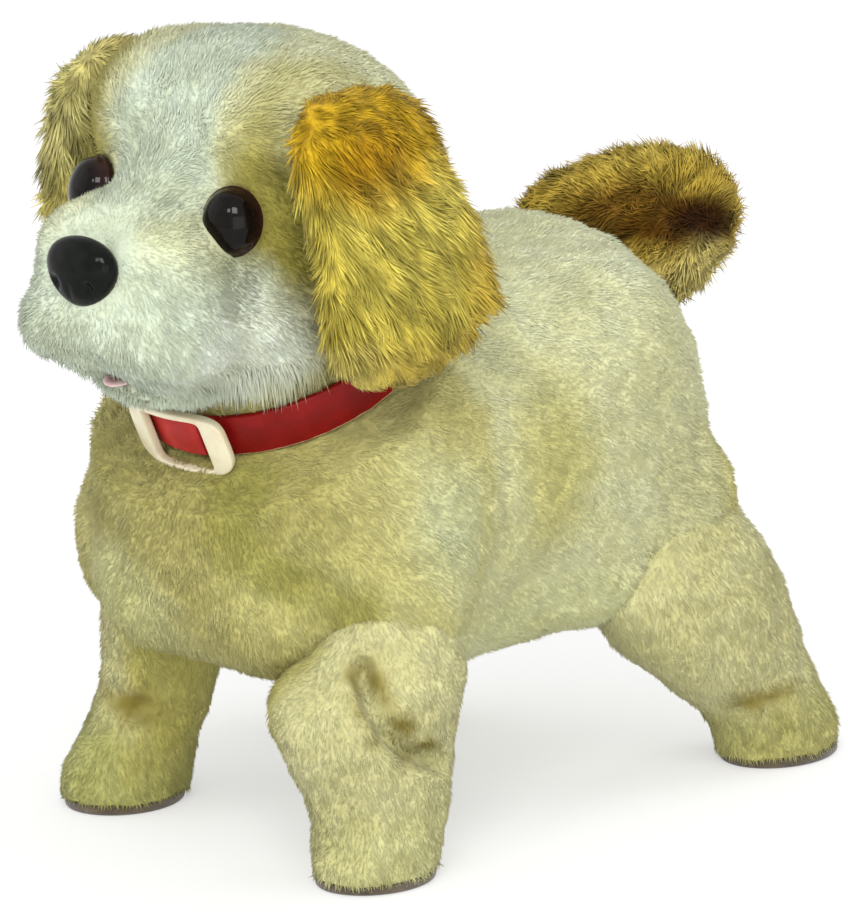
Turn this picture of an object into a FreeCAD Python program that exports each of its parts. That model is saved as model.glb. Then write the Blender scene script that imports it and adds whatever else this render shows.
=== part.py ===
"""A battery-driven plush puppy that walks, built as an assembly.

The dog faces -Y, its left side is +X and it stands on z = 0. A motor and a three-stage spur gearbox
turn one crankshaft. Each end of that shaft carries a crank whose pin works in the slots of two levers:
a short one on the hind leg and a long one on the front leg of the same side. Every piece is drawn at the
stride's end, with the left hind leg back and the right one forward. All lengths are in millimetres.
"""
import FreeCAD, Part

import math
import os

import Sketcher
from FreeCAD import Placement, Rotation, Vector

# ---------------------------------------------------------------- driving dimensions
SIZES = {
    # how far a cutting form starts outside what it cuts, and how far one that goes right through reaches
    "overlap": 1.0,
    "cut_reach": 60.0,
    "far_reach": 200.0,
    # stance: where the axles lie and how the legs rake at mid stride, in degrees
    "axle_height": 60.0,
    "hip_place": 50.0,
    "shoulder_place": -48.0,
    "hind_rake": 3.0,
    "front_rake": 4.5,
    "foot_spread": 40.5,
    # crank and levers
    "crank_throw": 5.8,
    "hind_lever_reach": 17.5,
    "crank_pin_radius": 1.5,
    "crankshaft_radius": 1.5,
    "crank_rim": 1.7,
    "crank_thickness": 3.0,
    "hind_pin_play": 2.4,
    "front_pin_play": 1.6,
    "slot_end_play": 0.9,
    "lever_thickness": 2.5,
    "lever_rim": 2.1,
    "side_gap": 0.6,
    "running_fit": 0.05,
    "axle_radius": 1.5,
    "axle_overhang": 2.2,
    "cap_radius": 3.2,
    "cap_thickness": 1.4,
    "hub_radius": 5.0,
    "boss_radius": 4.0,
    # leg mouldings, soles and plush sleeves
    "hub_reach": 7.2,
    "shank_top_radius": 3.2,
    "shank_foot_radius": 4.6,
    "sole_thickness": 2.4,
    "sole_inset": 0.4,
    "paw_flat_height": 10.0,
    "foot_thickness": 3.0,
    "foot_margin": 3.0,
    "foot_shape": 2.4,
    "sleeve_gap": 0.3,
    "sleeve_top_drop": 16.0,
    "sleeve_top_width": 13.6,
    "front_sleeve_length": 17.0,
    "hind_sleeve_length": 15.0,
    "sleeve_middle_height": 24.0,
    "sleeve_middle_width": 12.6,
    "sleeve_middle_length": 15.2,
    "paw_height": 8.0,
    "paw_width": 12.4,
    "paw_length": 15.6,
    # housing
    "housing_half_width": 24.5,
    "housing_front_margin": 6.0,
    "housing_back_margin": 7.0,
    "housing_under": 17.0,
    "housing_over": 39.0,
    "housing_wall": 2.0,
    "housing_chamfer": 4.0,
    "rear_slope_length": 22.0,
    "rear_slope_rise": 13.0,
    "rear_top_chamfer": 10.0,
    "screw_post_radius": 3.2,
    "screw_radius": 1.3,
    "screw_head_radius": 2.4,
    "screw_head_height": 1.4,
    "screw_front_inset": 8.0,
    "screw_back_inset": 9.0,
    "screw_top_drop": 6.5,
    "screw_low_inset": 5.0,
    "screw_low_gap": 5.4,
    "screw_low_rise": 5.5,
    "screw_front_drop": 6.0,
    "screw_length": 14.0,
    "door_post_height": 6.5,
    "speaker_radius": 12.0,
    "speaker_rise": 16.0,
    "speaker_depth": 4.0,
    "speaker_rim": 1.5,
    # gear train
    "fine_module": 0.5,
    "coarse_module": 0.6,
    "motor_pinion_teeth": 9,
    "first_gear_teeth": 37,
    "first_pinion_teeth": 10,
    "second_gear_teeth": 36,
    "second_pinion_teeth": 10,
    "final_gear_teeth": 40,
    "tooth_play": 0.12,
    "tooth_addendum": 0.85,
    "tooth_dedendum": 1.2,
    "tooth_flank_angle": 20.0,
    "root_share": 0.94,
    "gear_face": 2.4,
    "coarse_face": 4.0,
    "gear_step": 0.6,
    "gear_shaft_radius": 1.0,
    "second_shaft_direction": 105.0,
    "first_shaft_direction": 150.0,
    "motor_direction": 168.0,
    "plate_place": 3.4,
    "plate_thickness": 1.6,
    "plate_front_reach": 31.5,
    "plate_back_reach": 13.5,
    "plate_step_reach": 8.5,
    "plate_over": 28.5,
    "plate_under": 2.2,
    "plate_foot_drop": 6.0,
    "plate_post_radius": 2.4,
    "front_post_reach": 28.0,
    "front_post_rise": 10.0,
    "low_post_reach": 15.5,
    "low_post_rise": 4.8,
    "back_post_reach": 10.5,
    "back_post_rise": 25.0,
    # motor
    "motor_radius": 10.0,
    "motor_flat": 7.5,
    "motor_length": 25.0,
    "motor_boss_radius": 3.0,
    "motor_boss_height": 1.4,
    # cells and their bay
    "cell_radius": 7.25,
    "cell_length": 50.5,
    "cell_gap": 0.8,
    "cell_fit": 0.3,
    "nub_radius": 2.7,
    "nub_height": 1.0,
    "bay_wall": 1.4,
    "bay_inset": 9.8,
    "contact_thickness": 0.6,
    "contact_stand": 2.0,
    "contact_half": 5.0,
    "door_rib": 0.2,
    "door_fit": 0.3,
    "door_thickness": 2.0,
    "door_margin": 3.0,
    "door_screw_overlap": 0.2,
    "door_screw_sink": 1.0,
    "door_screw_stand": 0.2,
    "door_screw_gap": 1.5,
    # sound board and switch
    "board_length": 30.0,
    "board_height": 20.0,
    "board_thickness": 1.6,
    "board_inset": 14.0,
    "board_rise": 8.0,
    "board_stand": 3.0,
    "board_post_inset": 3.0,
    "chip_size": 7.0,
    "chip_inset": 6.0,
    "chip_thickness": 1.4,
    "switch_gap": 13.3,
    "switch_length": 12.0,
    "switch_width": 6.5,
    "switch_depth": 6.0,
    "knob_width": 3.0,
    "knob_length": 4.0,
    "knob_reach": 3.6,
    "knob_play": 0.3,
    "knob_room": 1.0,
    "switch_travel": 3.5,
    # torso cover
    "torso_shape": 2.5,
    "plush_gap": 0.3,
    "lever_room": 2.0,
    "lever_side_room": 0.3,
    "swing_low": 8.0,
    "hub_room_under": 20.0,
    "swing_room": 4.2,
    "haunch_spread": 33.0,
    "haunch_shift": -3.0,
    "haunch_rise": 8.0,
    "haunch_half_width": 19.5,
    "haunch_half_length": 19.0,
    "haunch_half_height": 27.0,
    "shoulder_spread": 33.0,
    "shoulder_shift": 1.0,
    "shoulder_rise": 6.0,
    "shoulder_half_width": 19.0,
    "shoulder_half_length": 20.0,
    "shoulder_half_height": 26.0,
    "neck_setback": 6.0,
    "neck_rise": 8.0,
    "neck_tilt": 26.6,
    "neck_radius": 31.5,
    "neck_depth": 20.0,
    "neck_shape_gap": 0.5,
    "nod_gap": 3.2,
    # collar
    "strap_width": 10.0,
    "strap_thickness": 1.6,
    "strap_fit": 0.3,
    "buckle_length": 24.0,
    "buckle_height": 16.0,
    "buckle_bar": 3.0,
    "buckle_thickness": 2.2,
    "buckle_gap": 0.1,
    "buckle_room": 0.6,
    # head
    "head_lead": 3.0,
    "head_rise": 33.0,
    "head_half_width": 42.0,
    "head_half_length": 38.0,
    "head_half_height": 40.0,
    "muzzle_lead": 37.0,
    "muzzle_drop": 14.0,
    "muzzle_half_width": 27.0,
    "muzzle_half_length": 27.2,
    "muzzle_half_height": 20.0,
    "cheek_lead": 17.0,
    "cheek_drop": 19.0,
    "cheek_half_width": 35.0,
    "cheek_half_length": 27.0,
    "cheek_half_height": 17.0,
    "nod_lead": 2.0,
    "nod_rise": 10.0,
    "neck_pin_radius": 1.5,
    "neck_pin_overhang": 1.0,
    "neck_block_width": 12.0,
    "neck_block_length": 12.0,
    "neck_block_over": 4.0,
    "neck_block_room": 2.0,
    "neck_block_room_length": 12.0,
    "lug_thickness": 3.0,
    "lug_reach": 4.5,
    "lug_over": 3.0,
    "skull_rise": 1.0,
    "skull_radius": 27.0,
    "skull_wall": 2.0,
    "skull_split_lead": 7.0,
    "skull_opening_over": 8.0,
    "eye_spread": 20.0,
    "eye_rise": 6.0,
    "eye_radius": 6.6,
    "eye_sink": 1.0,
    "stem_radius": 1.9,
    "stem_length": 9.0,
    "washer_radius": 5.0,
    "washer_thickness": 1.2,
    "washer_place": 6.0,
    "nose_lead": 21.0,
    "nose_rise": 10.0,
    "nose_half_width": 8.2,
    "nose_half_height": 6.4,
    "nose_half_depth": 3.6,
    "nose_stem_extra": 3.0,
    # jaw
    "jaw_axis_lead": 15.0,
    "jaw_axis_rise": 2.0,
    "jaw_reach": 31.0,
    "jaw_half_width": 12.5,
    "jaw_plate_thickness": 1.6,
    "jaw_pin_radius": 1.2,
    "jaw_hub_radius": 2.4,
    "jaw_arm_gap": 1.1,
    "jaw_arm_thickness": 1.8,
    "jaw_arm_length": 8.0,
    "jaw_arm_height": 15.5,
    "jaw_arm_under": 0.6,
    "jaw_room": 0.8,
    "jaw_arm_room": 0.4,
    "chin_gap": 0.2,
    "chin_plate_gap": 0.1,
    "chin_end": 4.0,
    "mouth_drop": 12.4,
    "mouth_gap": 2.0,
    "tongue_half_width": 5.0,
    "tongue_half_length": 9.0,
    "tongue_inset": 5.0,
    "tongue_thickness": 1.2,
    # ears
    "ear_half_thickness": 9.0,
    "ear_half_length": 27.0,
    "ear_half_height": 31.0,
    "ear_lead": 14.0,
    "ear_rise": 2.0,
    "ear_stand": 4.0,
    # tail
    "tail_axis_gap": 6.0,
    "tail_axis_drop": 3.0,
    "tail_pin_radius": 1.2,
    "tail_pin_overhang": 0.6,
    "tail_hub_radius": 3.4,
    "tail_hub_height": 9.0,
    "tail_lug_thickness": 1.8,
    "tail_lug_reach": 2.6,
    "tail_plate_thickness": 1.4,
    "tail_room_radius": 13.4,
    "tail_room_rise": 1.0,
    "tail_wire_radius": 1.4,
    "tail_base_radius": 6.5,
    "tail_clear": 3.0,
    "tail_rise": 1.5,
    "tail_radius": 7.4,
    "tail_tip_radius": 1.8,
    "tail_bend_radius": 9.1,
    "tail_bend_reach": 29.7,
    "tail_bend_rise": 17.5,
    "tail_tip_reach": 38.7,
    "tail_tip_rise": 1.2,
    "tail_tip_side": -15.0,
}
# the torso cover's cross-sections, from the chest to the rump: which end of the housing each is set out
# from and how far behind it, then half its width, half its height, and how far its middle is above the axles
TORSO = [
    ("front", -30.0, 7.0, 8.0, 20.0),
    ("front", -25.0, 24.0, 27.0, 20.0),
    ("front", -14.0, 37.5, 39.0, 19.5),
    ("front", 6.0, 47.0, 46.0, 20.0),
    ("front", 39.0, 49.0, 44.0, 22.0),
    ("back", -42.0, 48.0, 44.0, 21.0),
    ("back", -15.0, 46.0, 43.5, 21.0),
    ("back", 1.0, 38.0, 34.0, 23.0),
    ("back", 10.5, 24.0, 22.5, 28.5),
    ("back", 16.0, 7.0, 8.0, 33.5),
]
for number, (end, *values) in enumerate(TORSO, start=1):
    for word, value in zip(("offset", "half_width", "half_height", "rise"), values):
        SIZES[f"torso_{word}_{number}"] = value

# what follows from the driving dimensions, each written once as a formula
PLACES = {
    # layers, from the housing outwards
    "disc_in": "sizes.housing_half_width + sizes.side_gap",
    "disc_out": "disc_in + sizes.crank_thickness",
    "hind_in": "disc_out + sizes.side_gap",
    "hind_out": "hind_in + sizes.lever_thickness",
    "front_in": "hind_out + sizes.side_gap",
    "front_out": "front_in + sizes.lever_thickness",
    "shank_in": "front_out + sizes.side_gap",
    "hub_out": "shank_in + sizes.hub_reach",
    "axle_end": "hub_out + sizes.axle_overhang",
    "inner_side": "sizes.housing_half_width - sizes.housing_wall",
    # crank
    "crank_place": "sizes.hip_place - sizes.hind_lever_reach",
    "front_lever_reach": "crank_place - sizes.shoulder_place",
    "sleeve_top_height": "sizes.axle_height - sizes.sleeve_top_drop",
    # housing
    "housing_front": "sizes.shoulder_place - sizes.housing_front_margin",
    "housing_back": "sizes.hip_place + sizes.housing_back_margin",
    "housing_bottom": "sizes.axle_height - sizes.housing_under",
    "housing_top": "sizes.axle_height + sizes.housing_over",
    "housing_floor": "housing_bottom + sizes.housing_wall",
    "rear_slope_start": "housing_back - sizes.rear_slope_length",
    "screw_front": "housing_front + sizes.screw_front_inset",
    "screw_back": "housing_back - sizes.screw_back_inset",
    "screw_top": "housing_top - sizes.screw_top_drop",
    "screw_low_front": "housing_front + sizes.screw_low_inset",
    "screw_low_front_height": "sizes.axle_height - sizes.screw_front_drop",
    "screw_low_back": "bay_back + sizes.screw_low_gap",
    "screw_low": "housing_bottom + sizes.screw_low_rise",
    "speaker_height": "sizes.axle_height + sizes.speaker_rise",
    # gearbox
    "plate_in": "sizes.plate_place + sizes.plate_thickness",
    "fine_in": "plate_in + sizes.gear_step",
    "fine_out": "fine_in + sizes.gear_face",
    "middle_in": "fine_out + sizes.gear_step",
    "middle_out": "middle_in + sizes.gear_face",
    "coarse_in": "middle_out + sizes.gear_step",
    "coarse_out": "coarse_in + sizes.coarse_face",
    "far_plate_in": "coarse_out + sizes.gear_step",
    "far_plate_out": "far_plate_in + sizes.plate_thickness",
    "plate_front": "crank_place - sizes.plate_front_reach",
    "plate_back": "crank_place + sizes.plate_back_reach",
    "plate_step": "crank_place - sizes.plate_step_reach",
    "plate_top": "sizes.axle_height + sizes.plate_over",
    "plate_low": "sizes.axle_height + sizes.plate_under",
    "plate_foot": "sizes.axle_height - sizes.plate_foot_drop",
    "front_post_place": "crank_place - sizes.front_post_reach",
    "front_post_height": "sizes.axle_height + sizes.front_post_rise",
    "low_post_place": "crank_place - sizes.low_post_reach",
    "low_post_height": "sizes.axle_height + sizes.low_post_rise",
    "back_post_place": "crank_place + sizes.back_post_reach",
    "back_post_height": "sizes.axle_height + sizes.back_post_rise",
    # battery bay, sound board and switch
    "bay_half": "2 * sizes.cell_radius + sizes.cell_gap / 2 + sizes.cell_fit + sizes.bay_wall",
    "bay_front": "housing_front + sizes.bay_inset",
    "bay_back": "bay_front + sizes.cell_length + 2 * sizes.contact_stand + 2 * sizes.bay_wall",
    "bay_top": "housing_bottom + 2 * sizes.cell_radius + 2 * sizes.cell_fit + sizes.bay_wall",
    "cell_side": "sizes.cell_radius + sizes.cell_gap / 2",
    "cell_height": "housing_bottom + sizes.cell_radius + sizes.cell_fit",
    "cell_front": "bay_front + sizes.bay_wall + sizes.contact_stand",
    "cell_back": "cell_front + sizes.cell_length",
    "door_low": "housing_bottom - sizes.door_thickness",
    "door_half": "bay_half + sizes.door_margin",
    "door_screw_place": "bay_front - sizes.screw_post_radius + sizes.door_screw_overlap",
    "door_front": "door_screw_place - sizes.screw_post_radius",
    "door_back": "bay_back + sizes.door_margin",
    "board_place": "housing_front + sizes.board_inset",
    "board_low": "sizes.axle_height + sizes.board_rise",
    "switch_place": "bay_back + sizes.switch_gap",
    # torso cover and collar
    "haunch_height": "sizes.axle_height + sizes.haunch_rise",
    "shoulder_height": "sizes.axle_height + sizes.shoulder_rise",
    "neck_place": "sizes.shoulder_place + sizes.neck_setback",
    "neck_height": "housing_top + sizes.neck_rise",
    "strap_inner": "sizes.neck_radius + sizes.strap_fit",
    "strap_outer": "strap_inner + sizes.strap_thickness",
    # head and jaw
    "head_place": "neck_place - sizes.head_lead",
    "head_height": "neck_height + sizes.head_rise",
    "skull_height": "head_height + sizes.skull_rise",
    "skull_split_place": "head_place - sizes.skull_split_lead",
    "nod_place": "neck_place - sizes.nod_lead",
    "nod_height": "neck_height + sizes.nod_rise",
    "lug_in": "sizes.neck_block_width / 2 + sizes.side_gap",
    "lug_out": "lug_in + sizes.lug_thickness",
    "cheek_place": "head_place - sizes.cheek_lead",
    "cheek_height": "head_height - sizes.cheek_drop",
    "muzzle_place": "head_place - sizes.muzzle_lead",
    "muzzle_height": "head_height - sizes.muzzle_drop",
    "eye_height": "head_height + sizes.eye_rise",
    "eye_place": "head_place + sizes.eye_sink - sizes.head_half_length"
    " * sqrt(1 - (sizes.eye_spread / sizes.head_half_width)^2"
    " - (sizes.eye_rise / sizes.head_half_height)^2)",
    "nose_place": "muzzle_place - sizes.nose_lead",
    "nose_height": "muzzle_height + sizes.nose_rise",
    "nose_stem_length": "sizes.stem_length + sizes.nose_stem_extra",
    "mouth_height": "muzzle_height - sizes.mouth_drop",
    "jaw_plate_top": "mouth_height - sizes.mouth_gap",
    "jaw_plate_low": "jaw_plate_top - sizes.jaw_plate_thickness",
    "jaw_axis_height": "jaw_plate_low + sizes.jaw_axis_rise",
    "jaw_axis_place": "head_place - sizes.jaw_axis_lead",
    "jaw_front": "jaw_axis_place - sizes.jaw_reach",
    "jaw_arm_in": "sizes.jaw_half_width + sizes.jaw_arm_gap",
    "jaw_arm_out": "jaw_arm_in + sizes.jaw_arm_thickness",
    "tongue_place": "jaw_front + sizes.tongue_inset",
    # ears and tail
    "ear_place": "head_place - sizes.ear_lead",
    "ear_height": "head_height + sizes.ear_rise",
    "ear_spread": "sizes.head_half_width + sizes.ear_stand",
    "tail_axis_place": "housing_back + sizes.tail_axis_gap",
    "tail_axis_height": "housing_top - sizes.tail_axis_drop",
    "tail_lug_low": "tail_axis_height - sizes.tail_hub_height / 2 - sizes.plush_gap",
    "tail_lug_high": "tail_axis_height + sizes.tail_hub_height / 2 + sizes.plush_gap",
    "tail_bend_place": "tail_axis_place + sizes.tail_bend_reach",
    "tail_bend_height": "tail_axis_height + sizes.tail_bend_rise",
    "tail_tip_place": "tail_bend_place - sizes.tail_tip_reach",
    "tail_tip_height": "tail_bend_height + sizes.tail_bend_radius + sizes.tail_tip_rise",
}

doc = FreeCAD.newDocument("plush_puppy")


def add_sheet(name, cells, sign=""):
    """A spreadsheet with an alias and a value, or a formula, in each row."""
    sheet = doc.addObject("Spreadsheet::Sheet", name)
    for row, alias in enumerate(cells, start=1):
        sheet.set(f"A{row}", alias)
        sheet.setAlias(f"B{row}", alias)
    for row, value in enumerate(cells.values(), start=1):
        sheet.set(f"B{row}", f"{sign}{value}")
    return sheet


sizes = add_sheet("sizes", SIZES)
doc.recompute()
places = add_sheet("places", PLACES, sign="=")
doc.recompute()

nodes = {}


def size(alias):
    """The number that either sheet holds under this alias."""
    return float(getattr(sizes if alias in SIZES else places, alias))


def total(*aliases):
    """The sum of several of the sheets' numbers."""
    return sum(size(alias) for alias in aliases)


def keep(label, piece):
    """Names a finished sub-part, so that it is written to a file of that name."""
    piece.Label = label
    nodes[label] = piece
    return piece


def bind(piece, expressions):
    """Binds a piece's properties to expressions on the sheets."""
    for path, expression in expressions.items():
        piece.setExpression(path, expression)
    return piece


def place(piece, x="0", y="0", z="0"):
    """Binds where a piece stands."""
    return bind(piece, {"Placement.Base.x": x, "Placement.Base.y": y, "Placement.Base.z": z})


# ---------------------------------------------------------------- building blocks
def box(x, y, z):
    """A Part::Box between bound limits, each given as a pair of expressions."""
    piece = doc.addObject("Part::Box", "block")
    bind(
        piece,
        {
            "Length": f"({x[1]}) - ({x[0]})",
            "Width": f"({y[1]}) - ({y[0]})",
            "Height": f"({z[1]}) - ({z[0]})",
        },
    )
    return place(piece, x[0], y[0], z[0])


def rod(radius, x, y, z):
    """A Part::Cylinder that lies along X between two bound limits."""
    piece = doc.addObject("Part::Cylinder", "rod")
    piece.Placement = Placement(Vector(), Rotation(Vector(0, 1, 0), 90))
    bind(piece, {"Radius": radius, "Height": f"({x[1]}) - ({x[0]})"})
    return place(piece, x[0], y, z)


def post(radius, x, y, z):
    """A Part::Cylinder that stands along Z between two bound limits."""
    piece = doc.addObject("Part::Cylinder", "post")
    bind(piece, {"Radius": radius, "Height": f"({z[1]}) - ({z[0]})"})
    return place(piece, x, y, z[0])


def ellipsoid(half_x, half_y, half_z, x, y, z):
    """A Part::Ellipsoid with bound half sizes and centre."""
    piece = doc.addObject("Part::Ellipsoid", "ellipsoid")
    bind(piece, {"Radius1": half_z, "Radius2": half_x, "Radius3": half_y})
    return place(piece, x, y, z)


def fuse(*pieces):
    piece = doc.addObject("Part::MultiFuse", "fusion")
    piece.Shapes = list(pieces)
    piece.Refine = True
    return piece


def cut(base, *tools):
    piece = doc.addObject("Part::Cut", "cut")
    piece.Base = base
    piece.Tool = tools[0] if len(tools) == 1 else fuse(*tools)
    return piece


def common(*pieces):
    piece = doc.addObject("Part::MultiCommon", "common")
    piece.Shapes = list(pieces)
    return piece


def feature(name, shape, placement=None):
    """A Part::Feature for a form that no primitive or sketch gives."""
    piece = doc.addObject("Part::Feature", name)
    piece.Shape = shape
    if placement:
        piece.Placement = placement
    return piece


def group(label, pieces):
    """Several separate solids that share one node."""
    piece = doc.addObject("Part::Compound", label)
    piece.Links = list(pieces)
    return keep(label, piece)


def mirrored(piece):
    """The same piece on the dog's other side."""
    twin = doc.addObject("Part::Mirroring", "mirror")
    twin.Source = piece
    twin.Normal = Vector(1, 0, 0)
    return twin


def superellipse(centre, half_u, half_v, along_u, along_v, shape):
    """A closed smooth outline, rounder or squarer as its shape number says."""
    points = []
    steps = 16
    for step in range(steps):
        angle = 2 * math.pi * step / steps
        cosine, sine = math.cos(angle), math.sin(angle)
        u = math.copysign(abs(cosine) ** (2 / shape), cosine) * half_u
        v = math.copysign(abs(sine) ** (2 / shape), sine) * half_v
        points.append(centre + along_u * u + along_v * v)
    curve = Part.BSplineCurve()
    curve.interpolate(Points=points, PeriodicFlag=True)
    return Part.Wire([curve.toShape()])


def loft(wires):
    return Part.makeLoft(wires, True, False, False, 3)


def origin_plane(body, role):
    return next(item for item in body.Origin.OriginFeatures if item.Role == role)


def new_sketch(body, role, offset=None):
    """A sketch on one of the body's own origin planes, moved off it along its normal if asked."""
    sketch = body.newObject("Sketcher::SketchObject", "sketch")
    sketch.AttachmentSupport = [(origin_plane(body, role), "")]
    sketch.MapMode = "FlatFace"
    if offset:
        sketch.setExpression("AttachmentOffset.Base.z", offset)
    return sketch


def fix_point(sketch, item, end, x, y):
    """Ties a point of the sketch to bound coordinates."""
    for kind, expression in (("DistanceX", x), ("DistanceY", y)):
        index = sketch.addConstraint(Sketcher.Constraint(kind, -1, 1, item, end, 1.0))
        sketch.setExpression(f"Constraints[{index}]", expression)


def draw_outline(sketch, corners):
    """A closed outline of straight lines, every corner bound to a pair of expressions."""
    count = len(corners)
    seeds = [
        Vector(math.cos(2 * math.pi * i / count), math.sin(2 * math.pi * i / count), 0)
        for i in range(count)
    ]
    items = [
        sketch.addGeometry(Part.LineSegment(seeds[i], seeds[(i + 1) % count]), False)
        for i in range(count)
    ]
    for i, item in enumerate(items):
        sketch.addConstraint(Sketcher.Constraint("Coincident", item, 2, items[(i + 1) % count], 1))
        fix_point(sketch, item, 1, *corners[i])


def pad(body, sketch, length):
    piece = body.newObject("PartDesign::Pad", "pad")
    piece.Profile = sketch
    piece.setExpression("Length", length)
    return piece


# ---------------------------------------------------------------- numbers that formulas in the code share
CRANK_Y = "places.crank_place"
AXLE_Z = "sizes.axle_height"
THROUGH = ("-sizes.cut_reach", "sizes.cut_reach")

side = size("housing_half_width")
axle_z = size("axle_height")
hip_y = size("hip_place")
shoulder_y = size("shoulder_place")
crank_y = size("crank_place")
shank_in = size("shank_in")
axle_end = size("axle_end")
hind_swing = math.degrees(math.atan(size("crank_throw") / size("hind_lever_reach")))
front_swing = math.degrees(math.atan(size("crank_throw") / size("front_lever_reach")))


def on_side(sign, low, high):
    """A span along X, given for the left side, on the side that the sign names."""
    return (low, high) if sign > 0 else (f"-({high})", f"-({low})")


def prism(label, corners, x_low, x_high):
    """A PartDesign pad along X of an outline in the YZ plane, as an unnamed building block."""
    body = doc.addObject("PartDesign::Body", label)
    sketch = new_sketch(body, "YZ_Plane", x_low)
    draw_outline(sketch, corners)
    pad(body, sketch, f"({x_high}) - ({x_low})")
    return body


# ---------------------------------------------------------------- housing
def housing_outline(margin):
    """The housing's side outline, moved outwards by a margin expression."""
    front = f"places.housing_front - ({margin})"
    back = f"places.housing_back + ({margin})"
    low = f"places.housing_bottom - ({margin})"
    top = f"places.housing_top + ({margin})"
    rise = f"places.housing_bottom + sizes.rear_slope_rise - ({margin})"
    return [
        (front, low),
        ("places.rear_slope_start", low),
        (back, rise),
        (back, f"{top} - sizes.rear_top_chamfer"),
        (f"{back} - sizes.rear_top_chamfer", top),
        (f"{front} + sizes.housing_chamfer", top),
        (front, f"{top} - sizes.housing_chamfer"),
    ]


SCREWS = [
    ("places.screw_front", "places.screw_top"),
    ("places.screw_back", "places.screw_top"),
    ("places.screw_low_front", "places.screw_low_front_height"),
    ("places.screw_low_back", "places.screw_low"),
]
SCREW_HEAD = ("-sizes.housing_half_width", "-sizes.housing_half_width + sizes.screw_head_height")
PLATE_POSTS = [
    ("places.front_post_place", "places.front_post_height"),
    ("places.low_post_place", "places.low_post_height"),
    ("places.back_post_place", "places.back_post_height"),
]


def make_housing(label, sign):
    """One half of the two-part hard shell that carries the axles, the gearbox and the battery bay."""
    across = on_side(sign, "0", "sizes.housing_half_width")
    inside = on_side(sign, "-sizes.overlap", "places.inner_side")
    shell = cut(
        prism("outer", housing_outline("0"), *across),
        prism("inner", housing_outline("-sizes.housing_wall"), *inside),
    )
    solids = [shell]
    for y, z in SCREWS:
        solids.append(rod("sizes.screw_post_radius", on_side(sign, "0", "sizes.housing_half_width"), y, z))
    hip_boss = on_side(sign, "places.inner_side", "places.hind_in - sizes.plush_gap")
    shoulder_boss = on_side(sign, "places.inner_side", "places.front_in - sizes.plush_gap")
    solids.append(rod("sizes.boss_radius", hip_boss, "sizes.hip_place", AXLE_Z))
    solids.append(rod("sizes.boss_radius", shoulder_boss, "sizes.shoulder_place", AXLE_Z))
    if sign > 0:
        for y, z in PLATE_POSTS:
            solids.append(rod("sizes.plate_post_radius", ("places.far_plate_out", "places.inner_side"), y, z))
    else:
        for y in ("places.board_place + sizes.board_post_inset",
                  "places.board_place + sizes.board_length - sizes.board_post_inset"):
            inner = "-places.inner_side"
            board = "-places.inner_side + sizes.board_stand"
            middle = "places.board_low + sizes.board_height / 2"
            solids.append(rod("sizes.plate_post_radius", (inner, board), y, middle))
    holes = [
        rod("sizes.axle_radius", THROUGH, "sizes.hip_place", AXLE_Z),
        rod("sizes.axle_radius", THROUGH, "sizes.shoulder_place", AXLE_Z),
        rod("sizes.crankshaft_radius + sizes.running_fit", THROUGH, CRANK_Y, AXLE_Z),
        box(
            ("-places.bay_half", "places.bay_half"),
            ("places.bay_front", "places.bay_back"),
            ("places.housing_bottom - sizes.overlap", "places.bay_top"),
        ),
        post(
            "sizes.screw_post_radius",
            "0",
            "places.door_screw_place",
            ("places.housing_bottom - sizes.overlap", "places.housing_bottom + sizes.door_post_height"),
        ),
        box(
            ("-sizes.knob_width / 2 - sizes.knob_play", "sizes.knob_width / 2 + sizes.knob_play"),
            (
                "places.switch_place - sizes.knob_length / 2 - sizes.knob_play",
                "places.switch_place + sizes.knob_length / 2 + sizes.switch_travel"
                " + sizes.knob_play",
            ),
            ("places.housing_bottom - sizes.overlap", "places.housing_floor + sizes.overlap"),
        ),
    ]
    grille = doc.addObject("Part::Cylinder", "grille")
    grille.Placement = Placement(Vector(), Rotation(Vector(1, 0, 0), 90))
    bind(
        grille,
        {
            "Radius": "sizes.speaker_radius - sizes.speaker_rim",
            "Height": "sizes.housing_wall + 2 * sizes.overlap",
            "Placement.Base.y": "places.housing_front + sizes.housing_wall + sizes.overlap",
            "Placement.Base.z": "places.speaker_height",
        },
    )
    holes.append(grille)
    for y, z in SCREWS:
        holes.append(rod("sizes.screw_radius", ("-sizes.housing_half_width", "sizes.screw_length"), y, z))
        holes.append(rod("sizes.screw_head_radius", SCREW_HEAD, y, z))
    return keep(label, cut(fuse(*solids), *holes))


def make_screws():
    """The four long screws that hold the housing's halves together."""
    screws = []
    for y, z in SCREWS:
        screws.append(
            fuse(
                rod("sizes.screw_radius", ("-sizes.housing_half_width", "sizes.screw_length"), y, z),
                rod("sizes.screw_head_radius", SCREW_HEAD, y, z),
            )
        )
    return group("housing_screws", screws)


# ---------------------------------------------------------------- axles and caps
def make_axles():
    axles = ("sizes.hip_place", "sizes.shoulder_place")
    span = ("-places.axle_end", "places.axle_end")
    group("leg_axles", [rod("sizes.axle_radius", span, y, AXLE_Z) for y in axles])
    caps = []
    for sign in (1, -1):
        for y in axles:
            start = "places.hub_out + sizes.plush_gap"
            span = on_side(sign, start, f"{start} + sizes.cap_thickness")
            bore = rod("sizes.axle_radius", THROUGH, y, AXLE_Z)
            caps.append(cut(rod("sizes.cap_radius", span, y, AXLE_Z), bore))
    group("axle_caps", caps)


# ---------------------------------------------------------------- gear train
def polar(y, z, distance, degrees):
    angle = math.radians(degrees)
    return y + distance * math.cos(angle), z + distance * math.sin(angle)


def mesh_distance(module, teeth, pinion_teeth):
    return size(module) * (size(teeth) + size(pinion_teeth)) / 2


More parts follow.
